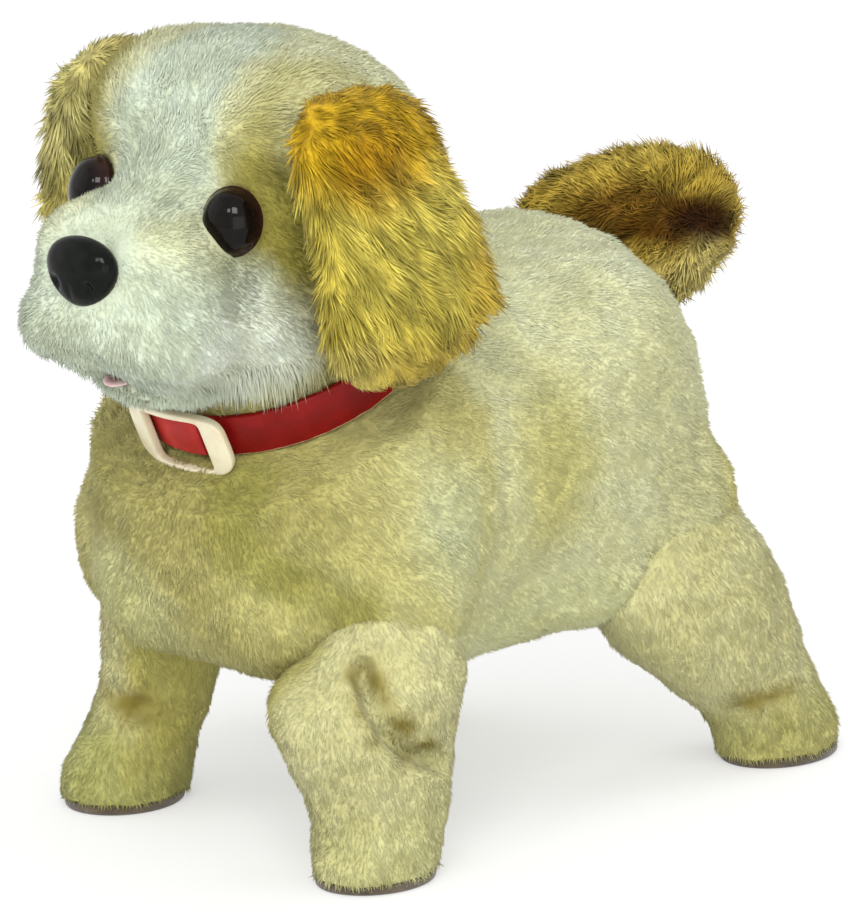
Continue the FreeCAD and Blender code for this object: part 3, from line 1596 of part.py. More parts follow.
def make_jaw():
    """The lower jaw: a hinged plate, the plush chin under it and the tongue on it."""
    half = ("-sizes.jaw_half_width", "sizes.jaw_half_width")
    axis = ("places.jaw_axis_place", "places.jaw_axis_height")
    plate = box(half, ("places.jaw_front", axis[0]), ("places.jaw_plate_low", "places.jaw_plate_top"))
    bore = rod("sizes.jaw_pin_radius + sizes.running_fit", THROUGH, *axis)
    keep("jaw_frame", cut(fuse(plate, rod("sizes.jaw_hub_radius", half, *axis)), bore))
    keep("jaw_pin", rod("sizes.jaw_pin_radius", ("-places.jaw_arm_out", "places.jaw_arm_out"), *axis))
    muzzle = head_forms("-sizes.chin_gap")[2]
    below = box(
        half,
        ("places.jaw_front", f"{axis[0]} - sizes.chin_end"),
        ("0", "places.jaw_plate_low - sizes.chin_plate_gap"),
    )
    keep("jaw_plush", common(muzzle, below))
    centre = Vector(0, size("tongue_place"), size("jaw_plate_top"))
    halves = (size("tongue_half_width"), size("tongue_half_length"))
    ring = superellipse(centre, *halves, Vector(1, 0, 0), Vector(0, 1, 0), size("foot_shape"))
    keep("tongue", feature("tongue", Part.Face(ring).extrude(Vector(0, 0, size("tongue_thickness")))))


# ---------------------------------------------------------------- tail
def make_tail():
    """A hub on a pin behind the housing, a wire core and a plush tail that curls over the back."""
    bend = size("tail_bend_radius")
    thick = size("tail_radius")
    axis_y, axis_z = size("tail_axis_place"), size("tail_axis_height")
    middle_y, middle_z = size("tail_bend_place"), size("tail_bend_height")
    start = Vector(0, axis_y + total("tail_hub_radius", "tail_clear"), axis_z + size("tail_rise"))
    low = Vector(0, middle_y, middle_z - bend)
    top = Vector(0, middle_y, middle_z + bend)
    tip = Vector(size("tail_tip_side"), size("tail_tip_place"), size("tail_tip_height"))
    ring = Part.makeTorus(bend, thick, Vector(0, middle_y, middle_z), Vector(1, 0, 0), 0, 360, 360)
    far = size("far_reach")
    behind = Part.makeBox(2 * far, far, 2 * far, Vector(-far, middle_y, middle_z - far))

    def taper(name, first_radius, last_radius, first, last):
        way = last - first
        return feature(name, Part.makeCone(first_radius, last_radius, way.Length, first, way))

    plush = fuse(
        taper("base", size("tail_base_radius"), thick, start, low),
        feature("low_round", Part.makeSphere(thick, low)),
        feature("back_round", ring.common(behind)),
        feature("top_round", Part.makeSphere(thick, top)),
        taper("end", thick, size("tail_tip_radius"), top, tip),
        feature("tip", Part.makeSphere(size("tail_tip_radius"), tip)),
    )
    axis = ("0", "places.tail_axis_place")
    half_hub = "sizes.tail_hub_height / 2"
    middle = "places.tail_axis_height"
    hub = post("sizes.tail_hub_radius", *axis, (f"{middle} - {half_hub}", f"{middle} + {half_hub}"))
    root = Vector(0, axis_y, axis_z)
    core = low - root

    def wire(gap):
        return Part.makeCylinder(size("tail_wire_radius") + gap, core.Length + gap, root, core)

    bore = post("sizes.tail_pin_radius + sizes.running_fit", *axis, ("0", "sizes.far_reach"))
    keep("tail_core", cut(fuse(hub, feature("wire", wire(0.0))), bore))
    keep("tail_plush", cut(plush, feature("wire_room", wire(size("plush_gap")))))
    low_end = "places.tail_lug_low - sizes.tail_lug_thickness"
    high_end = "places.tail_lug_high + sizes.tail_lug_thickness"
    width = ("-sizes.tail_hub_radius", "sizes.tail_hub_radius")
    reach = ("places.housing_back", "places.tail_axis_place + sizes.tail_lug_reach")
    plate = ("places.housing_back", "places.housing_back + sizes.tail_plate_thickness")
    bracket = fuse(
        box(width, reach, (low_end, "places.tail_lug_low")),
        box(width, reach, ("places.tail_lug_high", high_end)),
        box(width, plate, (low_end, high_end)),
    )
    hole = post("sizes.tail_pin_radius", *axis, ("0", "sizes.far_reach"))
    keep("tail_bracket", cut(bracket, hole))
    over = "sizes.tail_pin_overhang"
    keep("tail_pin", post("sizes.tail_pin_radius", *axis, (f"{low_end} - {over}", f"{high_end} + {over}")))


# ---------------------------------------------------------------- the whole dog
make_housing("left_housing", 1)
make_housing("right_housing", -1)
make_screws()
make_axles()
make_gears()
make_gearbox()
make_motor()
keep("crankshaft", rod("sizes.crankshaft_radius", ("-places.disc_out", "places.disc_out"), CRANK_Y, AXLE_Z))
make_crank("left_crank", 1, "-1")
make_crank("right_crank", -1, "1")
legs = {}
hind = ("places.hind_in", "places.hind_out")
front = ("places.front_in", "places.front_out")
for word, sign in (("left", 1), ("right", -1)):
    lean_back = size("hind_rake") + sign * hind_swing
    legs["hind", sign] = make_leg(
        f"{word}_hind", sign, "hip_place", "sizes.hind_lever_reach", -1, sign * hind_swing,
        lean_back, "hind_pin_play", hind, "hind_sleeve_length",
    )
    lean_front = -size("front_rake") - sign * front_swing
    legs["front", sign] = make_leg(
        f"{word}_front", sign, "shoulder_place", "places.front_lever_reach", 1, -sign * front_swing,
        lean_front, "front_pin_play", front, "front_sleeve_length",
    )
make_power()
make_sound()
make_switch()
make_torso(legs)
make_collar()
make_skull()
make_face()
make_head()
make_jaw()
make_tail()
doc.recompute()

for item in doc.Objects:
    if "Invalid" in item.State or "Error" in item.State:
        raise RuntimeError(f"{item.Label} ({item.Name}) failed: {item.State}")
for label, piece in nodes.items():
    shape = piece.Shape
    if shape.isNull() or not shape.isValid() or not shape.Solids:
        raise RuntimeError(f"{label} has no sound shape")
os.makedirs("parts", exist_ok=True)
for label, piece in nodes.items():
    piece.Shape.exportStep(f"parts/{label}.step")
    print(f"{label}: {len(piece.Shape.Solids)} solids, {piece.Shape.Volume:.1f} mm3")
print(f"hind swing {hind_swing:.3f}, front swing {front_swing:.3f} degrees")
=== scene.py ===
import math

import bpy
from mathutils import Matrix, Vector


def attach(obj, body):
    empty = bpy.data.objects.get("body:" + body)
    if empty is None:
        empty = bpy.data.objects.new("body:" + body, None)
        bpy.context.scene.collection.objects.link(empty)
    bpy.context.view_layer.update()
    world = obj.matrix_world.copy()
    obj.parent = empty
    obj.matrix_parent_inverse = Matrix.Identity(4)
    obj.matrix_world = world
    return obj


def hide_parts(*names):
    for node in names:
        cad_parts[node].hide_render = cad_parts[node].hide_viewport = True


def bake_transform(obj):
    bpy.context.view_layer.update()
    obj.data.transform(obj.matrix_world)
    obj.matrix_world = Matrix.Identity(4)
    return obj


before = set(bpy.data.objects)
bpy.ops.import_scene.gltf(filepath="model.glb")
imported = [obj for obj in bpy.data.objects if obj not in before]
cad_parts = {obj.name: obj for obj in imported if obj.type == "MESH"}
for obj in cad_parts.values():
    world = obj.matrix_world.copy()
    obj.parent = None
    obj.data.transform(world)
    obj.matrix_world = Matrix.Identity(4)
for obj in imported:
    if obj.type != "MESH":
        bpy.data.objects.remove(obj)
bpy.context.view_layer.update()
scene = bpy.context.scene
mm = 0.001  # every size below is in millimetres and is multiplied by this
print("stage: frame loaded", len(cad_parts), "CAD nodes")

# small helpers for materials and node groups


def colour(red, green, blue):
    # from the 0 to 255 screen scale to the linear scale of a shader
    def linear(value):
        value /= 255
        return value / 12.92 if value < 0.04045 else ((value + 0.055) / 1.055) ** 2.4

    return (linear(red), linear(green), linear(blue), 1)


class NodeTree:
    # a thin wrapper, so that a node is added and linked in one line
    def __init__(self, tree):
        self.tree = tree

    def add(self, kind, inputs=None, **values):
        node = self.tree.nodes.new(kind)
        for key, value in values.items():
            setattr(node, key, value)
        for key, value in (inputs or {}).items():
            socket = node.inputs[key]
            if isinstance(value, bpy.types.NodeSocket):
                self.tree.links.new(value, socket)
            else:
                socket.default_value = value
        return node

    def here(self):
        return self.add("ShaderNodeTexCoord").outputs["Object"]

    def maths(self, operation, first, second=0.0):
        return self.add("ShaderNodeMath", {0: first, 1: second}, operation=operation).outputs[0]

    def vector(self, operation, first, second=(0, 0, 0)):
        node = self.add("ShaderNodeVectorMath", {0: first, 1: second}, operation=operation)
        return node.outputs["Value" if operation in ("LENGTH", "DOT_PRODUCT") else "Vector"]

    def scaled(self, vector, amount):
        node = self.add("ShaderNodeVectorMath", {0: vector, "Scale": amount}, operation="SCALE")
        return node.outputs["Vector"]

    def turned(self, vector, degrees):
        # turned about the axis that runs across the dog
        inputs = {"Vector": vector, "Angle": math.radians(degrees)}
        return self.add("ShaderNodeVectorRotate", inputs, rotation_type="X_AXIS").outputs[0]

    def parts(self, vector):
        return self.add("ShaderNodeSeparateXYZ", {0: vector}).outputs

    def ramp(self, value, low, high, start=0.0, end=1.0):
        inputs = {"Value": value, "From Min": low, "From Max": high, "To Min": start, "To Max": end}
        return self.add("ShaderNodeMapRange", inputs, interpolation_type="SMOOTHSTEP").outputs["Result"]

    def reach(self, spot, centre, radii):
        # how far a point lies from a centre, as a share of the radii
        offset = self.vector("SUBTRACT", spot, tuple(Vector(centre) * mm))
        return self.vector("LENGTH", self.vector("DIVIDE", offset, tuple(Vector(radii) * mm)))

    def within(self, spot, zone, inside, outside):
        # a zone is a centre, radii and the softness of its edge
        centre, radii, soft = zone
        return self.ramp(self.reach(spot, centre, radii), 1 - soft, 1 + soft, inside, outside)

    def mixed(self, share, first, second, blend="MIX"):
        node = self.add("ShaderNodeMix", data_type="RGBA", blend_type=blend)
        for index, value in ((0, share), (6, first), (7, second)):
            if isinstance(value, bpy.types.NodeSocket):
                self.tree.links.new(value, node.inputs[index])
            else:
                node.inputs[index].default_value = value
        return node.outputs[2]

    def toned(self, paint, red, green=None, blue=None):
        # the colour times a gain, which may differ for red, green and blue
        inputs = {0: red, 1: green or red, 2: blue or red}
        return self.mixed(1.0, paint, self.add("ShaderNodeCombineColor", inputs).outputs[0], "MULTIPLY")

    def noise(self, spot, size, detail=2, output="Fac"):
        # size is that of one patch, in millimetres
        inputs = {"Vector": spot, "Scale": 1000 / size, "Detail": detail, "Roughness": 0.5}
        return self.add("ShaderNodeTexNoise", inputs).outputs[output]

    def random(self, low, high):
        return self.add("FunctionNodeRandomValue", {2: low, 3: high}, data_type="FLOAT").outputs[1]

    def stored(self, geometry, name, value, kind="FLOAT", domain="POINT"):
        inputs = {"Geometry": geometry, "Name": name, "Value": value}
        return self.add("GeometryNodeStoreNamedAttribute", inputs, data_type=kind, domain=domain).outputs[0]


def newMaterial(name):
    material = bpy.data.materials.new(name)
    material.use_nodes = True
    material.node_tree.nodes.clear()
    return material, NodeTree(material.node_tree)


def finishMaterial(nodes, baseColour, roughness, bump=None, normal=None, **shader):
    principled = nodes.add("ShaderNodeBsdfPrincipled", {"Base Color": baseColour, "Roughness": roughness})
    if normal:
        nodes.tree.links.new(normal, principled.inputs["Normal"])
    for key, value in shader.items():
        principled.inputs[key.replace("_", " ")].default_value = value
    if bump:
        height, strength, distance = bump
        inputs = {"Height": height, "Strength": strength, "Distance": distance * mm}
        bumped = nodes.add("ShaderNodeBump", inputs)
        nodes.tree.links.new(bumped.outputs["Normal"], principled.inputs["Normal"])
    nodes.add("ShaderNodeOutputMaterial", {"Surface": principled.outputs[0]})


# camera, floor and light

view = {
    "azimuth": 42.66,
    "elevation": 15.56,
    "distance": 4000,
    "aim": (-1.1, 3.7, 73.5),
    "lens": 719.7,
    "sensor": 36,
}
light = {
    "lamps": {
        "key": {"place": (800, -1050, 1250), "size": 480, "power": 10.5},
        "front": {"place": (1200, -900, 220), "size": 1100, "power": 6},
        "fill": {"place": (-900, -900, 700), "size": 1200, "power": 1.8},
        "rim": {"place": (500, 1200, 900), "size": 800, "power": 5},
        "glint": {"place": (350, -1300, 1150), "size": 240, "power": 2.5},
    },
    "aim": (0, 0, 80),
    "world": 0.92,
}
floor = {"size": 6000, "paper": (0.93, 0.93, 0.93, 1), "glow": 0.45}


def addCamera():
    turn, rise = math.radians(view["azimuth"]), math.radians(view["elevation"])
    back = Vector((math.sin(turn) * math.cos(rise), -math.cos(turn) * math.cos(rise), math.sin(rise)))
    camera = bpy.data.objects.new("camera", bpy.data.cameras.new("camera"))
    scene.collection.objects.link(camera)
    camera.location = (Vector(view["aim"]) + back * view["distance"]) * mm
    camera.rotation_euler = back.to_track_quat("Z", "Y").to_euler()
    camera.data.sensor_fit = "VERTICAL"
    camera.data.sensor_height = view["sensor"]
    camera.data.lens = view["lens"]
    camera.data.clip_start = 0.05
    camera.data.clip_end = 20
    scene.camera = camera


def addLamp(name, values):
    lamp = bpy.data.objects.new(name, bpy.data.lights.new(name, "AREA"))
    scene.collection.objects.link(lamp)
    lamp.location = Vector(values["place"]) * mm
    lamp.rotation_euler = (Vector(light["aim"]) * mm - lamp.location).to_track_quat("-Z", "Y").to_euler()
    lamp.data.size = values["size"] * mm
    lamp.data.energy = values["power"]


def rayIsSeen(nodes):
    # 1 for camera, glossy and transmitted rays, so that the pale surround shows in them all
    path = nodes.add("ShaderNodeLightPath").outputs
    seen = nodes.maths("MAXIMUM", path["Is Camera Ray"], path["Is Glossy Ray"])
    return nodes.maths("MAXIMUM", seen, path["Is Transmission Ray"])


def addWorld():
    scene.world = bpy.data.worlds.new("studio")
    scene.world.use_nodes = True
    scene.world.node_tree.nodes.clear()
    nodes = NodeTree(scene.world.node_tree)
    lit, seen = (nodes.add("ShaderNodeBackground", {"Color": (1, 1, 1, 1), "Strength": strength}).outputs[0]
                 for strength in (light["world"], 1))
    mix = nodes.add("ShaderNodeMixShader", {0: rayIsSeen(nodes), 1: lit, 2: seen})
    nodes.add("ShaderNodeOutputWorld", {"Surface": mix.outputs[0]})


def addFloor():
    bpy.ops.mesh.primitive_plane_add(size=floor["size"] * mm, location=(0, 0, 0))
    sheet = bpy.context.object
    sheet.name = "floor"
    material, nodes = newMaterial("floorPaper")
    paper = nodes.add("ShaderNodeBsdfDiffuse", {"Color": floor["paper"]}).outputs[0]
    glow = nodes.add("ShaderNodeEmission", {"Strength": 1}).outputs[0]
    share = nodes.maths("MULTIPLY", rayIsSeen(nodes), floor["glow"])
    mix = nodes.add("ShaderNodeMixShader", {0: share, 1: paper, 2: glow})
    nodes.add("ShaderNodeOutputMaterial", {"Surface": mix.outputs[0]})
    sheet.data.materials.append(material)


scene.view_settings.view_transform = "Standard"
addCamera()
for lampName, lampValues in light["lamps"].items():
    addLamp(lampName, lampValues)
addWorld()
addFloor()
print("stage: camera, light and floor")

# small helpers for modelling


def selectOnly(piece):
    bpy.ops.object.select_all(action="DESELECT")
    piece.select_set(True)
    bpy.context.view_layer.objects.active = piece


def place(piece):
    # a finished piece keeps its place in its mesh
    selectOnly(piece)
    bpy.ops.object.transform_apply(location=True, rotation=True, scale=True)
    return piece


def primitive(operator, **values):
    # a primitive is added with nothing else selected
    bpy.ops.object.select_all(action="DESELECT")
    operator(**values)
    return bpy.context.object


def applyModifier(piece, kind, **values):
    selectOnly(piece)
    modifier = piece.modifiers.new(kind.lower(), kind)
    for key, value in values.items():
        setattr(modifier, key, value)
    bpy.ops.object.modifier_apply(modifier=modifier.name)
    return piece


def roundEdges(piece, width, segments):
    return applyModifier(piece, "BEVEL", width=width * mm, segments=segments, limit_method="ANGLE")


def finishPiece(piece, name, material, angle=40):
    piece.name = name
    piece.data.name = name
    piece.data.materials.clear()
    piece.data.materials.append(material)
    selectOnly(piece)
    bpy.ops.object.shade_smooth_by_angle(angle=math.radians(angle))
    return piece


def mirrored(spot, side):
    return (spot[0] * side, spot[1], spot[2])


def ball(centre, radii):
    piece = primitive(bpy.ops.mesh.primitive_uv_sphere_add, segments=40, ring_count=20, radius=1)
    piece.scale = Vector(radii) * mm
    piece.location = Vector(centre) * mm
    return place(piece)


def block(centre, half, edge):
    # a box with rounded edges
    piece = primitive(bpy.ops.mesh.primitive_cube_add, size=2, location=Vector(centre) * mm)
    piece.scale = Vector(half) * mm
    place(piece)
    return applyModifier(piece, "BEVEL", width=edge * mm, segments=3)


def tube(points, radii):
    # a closed tapered tube along a smooth line through the points
    curve = bpy.data.curves.new("line", "CURVE")
    curve.dimensions = "3D"
    spline = curve.splines.new("NURBS")
    spline.points.add(len(points) - 1)
    for point, spot, radius in zip(spline.points, points, radii):
        point.co = (*(Vector(spot) * mm), 1)
        point.radius = radius * mm
    spline.order_u = 3
    spline.use_endpoint_u = True
    spline.resolution_u = 8
    curve.bevel_depth = 1
    curve.bevel_resolution = 5
    curve.use_fill_caps = True
    piece = bpy.data.objects.new("tube", curve)
    scene.collection.objects.link(piece)
    selectOnly(piece)
    bpy.ops.object.convert(target="MESH")
    return bpy.context.object


def loft(axis, rings, sides=28):
    # a disc is extruded from ring to ring and resized at each: centre, half size across, half size up or along
    turn = (math.pi / 2, 0, 0) if axis == "Y" else (0, 0, 0)
    piece = place(primitive(bpy.ops.mesh.primitive_circle_add, vertices=sides, radius=1, fill_type="NGON",
                            rotation=turn))
    bpy.ops.object.mode_set(mode="EDIT")
    bpy.ops.mesh.select_all(action="SELECT")
    before, wide, high = Vector((0, 0, 0)), 1, 1
    for step, (centre, halfWide, halfHigh) in enumerate(rings):
        centre = Vector(centre) * mm
        halfWide, halfHigh = halfWide * mm, halfHigh * mm
        move = centre - before
        if step:
            bpy.ops.mesh.extrude_region_move(TRANSFORM_OT_translate={"value": move})
        else:
            bpy.ops.transform.translate(value=move)
        ratio = (halfWide / wide, 1, halfHigh / high) if axis == "Y" else (halfWide / wide, halfHigh / high, 1)
        bpy.ops.transform.resize(value=ratio, center_override=centre)
        before, wide, high = centre, halfWide, halfHigh
    bpy.ops.mesh.select_all(action="SELECT")
    bpy.ops.mesh.normals_make_consistent(inside=False)
    bpy.ops.object.mode_set(mode="OBJECT")
    return piece


def join(name, parts):
    selectOnly(parts[0])
    for part in parts:
        part.select_set(True)
    if len(parts) > 1:
        bpy.ops.object.join()
    piece = parts[0]
    piece.name = name
    piece.data.name = name
    return piece


# a stuffed skin: melted from simple forms, swelled as cloth, then given seams and lumps

stuffing = {"pressure": 4, "frames": 20}


def swell(piece, cap, held):
    # the skin is blown up as cloth between the points that are held, none moving further than the cap
    group = piece.vertex_groups.new(name="held")
    before = [vertex.co.copy() for vertex in piece.data.vertices]
    group.add([vertex.index for vertex in piece.data.vertices if held(vertex.co / mm)], 1.0, "ADD")
    selectOnly(piece)
    modifier = piece.modifiers.new("cloth", "CLOTH")
    modifier.settings.use_pressure = True
    modifier.settings.uniform_pressure_force = stuffing["pressure"]
    modifier.settings.effector_weights.gravity = 0
    modifier.settings.vertex_group_mass = "held"
    modifier.point_cache.frame_start = 1
    modifier.point_cache.frame_end = stuffing["frames"]
    for number in range(1, stuffing["frames"] + 1):
        scene.frame_set(number)
    bpy.ops.object.modifier_apply(modifier=modifier.name)
    scene.frame_set(1)
    for vertex, was in zip(piece.data.vertices, before):
        move = vertex.co - was
        if move.length > cap * mm:
            vertex.co = was + move.normalized() * cap * mm
    piece.vertex_groups.clear()


def stuff(name, parts, voxel, cap, held):
    piece = join(name, parts)
    applyModifier(piece, "REMESH", mode="VOXEL", voxel_size=voxel * mm, use_smooth_shade=True)
    applyModifier(piece, "SMOOTH", factor=0.5, iterations=4)
    swell(piece, cap, held)
    applyModifier(piece, "SMOOTH", factor=0.5, iterations=2)
    return applyModifier(piece, "SUBSURF", levels=2, render_levels=2)


def ruffle(piece, size, depth):
    # soft lumps, as stuffing and brushed pile give
    texture = bpy.data.textures.new("lumps", "CLOUDS")
    texture.noise_scale = size * mm
    texture.noise_depth = 2
    applyModifier(piece, "DISPLACE", texture=texture, texture_coords="LOCAL", strength=depth * mm, mid_level=0.5)


def dent(piece, centre, radius, push):
    # moves the skin near a point, most at the point itself
    middle = Vector(centre) * mm
    for vertex in piece.data.vertices:
        gap = (vertex.co - middle).length / (radius * mm)
        if gap < 1:
            vertex.co += Vector(push) * mm * (1 - gap * gap) ** 2


def crease(piece, points, width, depth):
    # a sewn line or a fold draws the skin in along a path
    def offPath(spot):
        gaps = []
        for first, last in zip(path, path[1:]):
            along = last - first
            share = max(0.0, min(1.0, (spot - first).dot(along) / along.length_squared))
            gaps.append((spot - first.lerp(last, share)).length)
        return min(gaps) / (width * mm)

    path = [Vector(point) * mm for point in points]
    moves = []
    for vertex in piece.data.vertices:
        gap = offPath(vertex.co)
        moves.append(vertex.normal * (-depth * mm * (1 - gap * gap) ** 2) if gap < 1 else None)
    for vertex, move in zip(piece.data.vertices, moves):
        if move:
            vertex.co += move


def inLean(spot, centre, lean):
    # a point in the frame of the neck, which leans forward
    return Matrix.Rotation(-math.radians(lean), 3, "X") @ (spot - Vector(centre))


# plush: its colours and its pile

rootDepth = 0.3  # how deep in the skin each hair stands


def plushMaterial(name, base, patches, wander=7, speckle=0.1, rootShade=0.8, toneSpread=0.06, locks=None):
    # patches are painted in turn over the base: centre, radii, softness, colour
    material, nodes = newMaterial(name)
    spot = nodes.here()
    drift = nodes.vector("SUBTRACT", nodes.noise(spot, 14, 3, "Color"), (0.5, 0.5, 0.5))
    moved = nodes.vector("ADD", spot, nodes.scaled(drift, 2 * wander * mm))
    paint = base
    for *zone, tint in patches:
        paint = nodes.mixed(nodes.within(moved, zone, 1, 0), paint, tint)
    if locks:
        # streaks drawn out along the way that the pile hangs: partly the pile's own lighter and darker colour,
        # partly painted highlight on the locks and painted shade in the gaps between them
        drawn = nodes.vector("MULTIPLY", nodes.turned(spot, locks["lean"]), (1, 1, 1 / locks["stretch"]))
        streak = nodes.noise(drawn, locks["size"], 2)
        paint = nodes.toned(paint, nodes.ramp(streak, 0.34, 0.66, locks["dark"], locks["light"]))
    tip = nodes.add("ShaderNodeAttribute", attribute_name="tip").outputs["Fac"]
    shade = nodes.add("ShaderNodeAttribute", attribute_name="shade").outputs["Fac"]
    broad = nodes.ramp(nodes.noise(spot, 20, 4), 0.3, 0.7, 1 - speckle, 1 + speckle * 0.4)
    # painted shade, darkest at the root of each hair
    rootShadeGain = nodes.ramp(tip, 0.0, 0.9, rootShade, 1.0)
    varied = nodes.ramp(shade, 0, 1, 1 - toneSpread, 1 + toneSpread)
    # small mottling: partly the pile's own uneven tone, partly painted highlight and painted shade on its curls
    curlLightAndTone = nodes.ramp(nodes.noise(spot, 6, 3), 0.36, 0.64, 1 - speckle * 0.8, 1 + speckle * 0.5)
    gain = nodes.maths("MULTIPLY", nodes.maths("MULTIPLY", broad, rootShadeGain), nodes.maths("MULTIPLY", varied, curlLightAndTone))
    # painted shade: the pile is painted darker towards the roots of its hairs, and the darker it is painted the
    # warmer it turns, so the depth of the pile is warmer than its tips
    painted = nodes.toned(paint, gain, nodes.maths("POWER", gain, 1.08), nodes.maths("POWER", gain, 1.6))
    lay = nodes.add("ShaderNodeAttribute", attribute_name="lay").outputs["Vector"]
    turned = nodes.add("ShaderNodeVectorTransform", {"Vector": lay}, vector_type="NORMAL",
                       convert_from="OBJECT", convert_to="WORLD").outputs[0]
    own = nodes.add("ShaderNodeNewGeometry").outputs["Normal"]
    soft = nodes.vector("NORMALIZE", nodes.vector("ADD", nodes.scaled(turned, 2.6), own))
    finishMaterial(nodes, painted, 0.88, normal=soft, Specular_IOR_Level=0.08, Sheen_Weight=0.12,
                   Sheen_Roughness=0.5)
    return material


def isInside(nodes, spot, shape):
    # a shape is ("ball", centre, radii) or ("box", centre, half sizes, lean in degrees)
    if shape[0] == "ball":
        return nodes.maths("LESS_THAN", nodes.reach(spot, shape[1], shape[2]), 1.0)
    offset = nodes.turned(nodes.vector("SUBTRACT", spot, tuple(Vector(shape[1]) * mm)), -shape[3])
    share = nodes.vector("ABSOLUTE", nodes.vector("DIVIDE", offset, tuple(Vector(shape[2]) * mm)))
    across, along, up = nodes.parts(share)
    return nodes.maths("LESS_THAN", nodes.maths("MAXIMUM", nodes.maths("MAXIMUM", across, along), up), 1.0)


def hairNodes(nodes, fur):
    # one closed, tapered hair, which remembers how near its tip a point is
    steps = fur.get("steps", 1)
    inputs = {"Vertices": 3, "Side Segments": steps, "Radius Top": 0.0, "Radius Bottom": 1.0, "Depth": 1.0}
    hair = nodes.add("GeometryNodeMeshCone", inputs, fill_type="NGON").outputs["Mesh"]
    height = nodes.parts(nodes.add("GeometryNodeInputPosition").outputs[0])["Z"]
    if steps > 1:
        lean = nodes.maths("MULTIPLY", nodes.maths("MULTIPLY", height, height), fur["curl"] / fur["width"])
        move = nodes.add("ShaderNodeCombineXYZ", {"X": lean}).outputs[0]
        hair = nodes.add("GeometryNodeSetPosition", {"Geometry": hair, "Offset": move}).outputs[0]
    return nodes.stored(hair, "tip", height)


def furNodes(name, fur, material):
    # grows hairs on the skin, combed, clumped and of uneven length
    group = bpy.data.node_groups.new(name, "GeometryNodeTree")
    for way in ("INPUT", "OUTPUT"):
        group.interface.new_socket("Geometry", in_out=way, socket_type="NodeSocketGeometry")
    nodes = NodeTree(group)
    skin = nodes.add("NodeGroupInput").outputs[0]
    inputs = {"Mesh": skin, "Density": fur["density"] * 1e6, "Seed": fur["seed"]}
    scatter = nodes.add("GeometryNodeDistributePointsOnFaces", inputs)
    points, normal = scatter.outputs["Points"], scatter.outputs["Normal"]
    spot = nodes.add("GeometryNodeInputPosition").outputs[0]
    for shape in fur.get("bare", ()):
        inputs = {"Geometry": points, "Selection": isInside(nodes, spot, shape)}
        points = nodes.add("GeometryNodeDeleteGeometry", inputs, domain="POINT").outputs[0]

    away = nodes.vector("NORMALIZE", nodes.vector("SUBTRACT", spot, tuple(Vector(fur["from"]) * mm)))
    comb = nodes.vector("ADD", nodes.scaled(away, fur["away"]), tuple(fur["comb"]))
    swirl = nodes.noise(spot, fur["clump"], 1, "Color")
    swirled = nodes.vector("SUBTRACT", swirl, (0.5, 0.5, 0.5))
    inputs = {0: (-1, -1, -1), 1: (1, 1, 1), "Seed": fur["seed"] + 1}
    jitter = nodes.add("FunctionNodeRandomValue", inputs, data_type="FLOAT_VECTOR").outputs[0]
    way = nodes.vector("ADD", comb, nodes.scaled(swirled, fur["swirl"]))
    way = nodes.vector("ADD", way, nodes.scaled(jitter, fur["mess"]))
    # the pile lies along the skin and lifts off it by the same angle everywhere
    into = nodes.scaled(normal, nodes.vector("DOT_PRODUCT", way, normal))
    flat = nodes.vector("NORMALIZE", nodes.vector("SUBTRACT", way, into))
    way = nodes.vector("ADD", flat, nodes.scaled(normal, fur["lift"]))
    for *zone, pull in fur.get("hang", ()):
        way = nodes.vector("ADD", way, nodes.scaled(pull, nodes.within(spot, zone, 1, 0)))
    turn = nodes.add("FunctionNodeAlignRotationToVector", {"Vector": way}, axis="Z").outputs[0]
    inputs = {"Axis": (0, 0, 1), "Angle": nodes.random(0.0, 6.28)}
    spin = nodes.add("FunctionNodeAxisAngleToRotation", inputs).outputs[0]
    rolled = nodes.add("FunctionNodeRotateRotation", {0: turn, 1: spin}, rotation_space="LOCAL").outputs[0]

    longer = nodes.random(fur["short"], 1.0)
    for *zone, share in fur.get("zones", ()):
        longer = nodes.maths("MULTIPLY", longer, nodes.within(spot, zone, share, 1.0))
    clumped = nodes.ramp(nodes.parts(swirl)[0], 0.35, 0.65, 0.75, 1.1)
    tall = nodes.maths("MULTIPLY", nodes.maths("MULTIPLY", longer, clumped), fur["length"] * mm)
    wide = fur["width"] * mm
    size = nodes.add("ShaderNodeCombineXYZ", {"X": wide, "Y": wide, "Z": tall}).outputs[0]
    sunk = nodes.vector("SUBTRACT", spot, nodes.scaled(normal, rootDepth * mm))
    points = nodes.add("GeometryNodeSetPosition", {"Geometry": points, "Position": sunk}).outputs[0]
    points = nodes.stored(points, "lay", normal, "FLOAT_VECTOR")
    inputs = {"Points": points, "Instance": hairNodes(nodes, fur), "Rotation": rolled, "Scale": size}
    hairs = nodes.add("GeometryNodeInstanceOnPoints", inputs).outputs[0]
    hairs = nodes.stored(hairs, "shade", nodes.random(0.0, 1.0), domain="INSTANCE")
    hairs = nodes.add("GeometryNodeRealizeInstances", {"Geometry": hairs}).outputs[0]
    # the skin between the hairs is given a tip value partway up the pile, so it takes part of the painted root
    # shade
    coat = nodes.stored(nodes.stored(skin, "tip", 0.4), "shade", 0.5)
    coat = nodes.stored(coat, "lay", nodes.add("GeometryNodeInputNormal").outputs[0], "FLOAT_VECTOR")
    both = nodes.add("GeometryNodeJoinGeometry")
    nodes.tree.links.new(coat, both.inputs[0])
    nodes.tree.links.new(hairs, both.inputs[0])
    coated = nodes.add("GeometryNodeSetMaterial", {"Geometry": both.outputs[0], "Material": material}).outputs[0]
    smooth = nodes.add("GeometryNodeSetShadeSmooth", {"Geometry": coated}).outputs[0]
    nodes.add("NodeGroupOutput", {0: smooth})
    return group


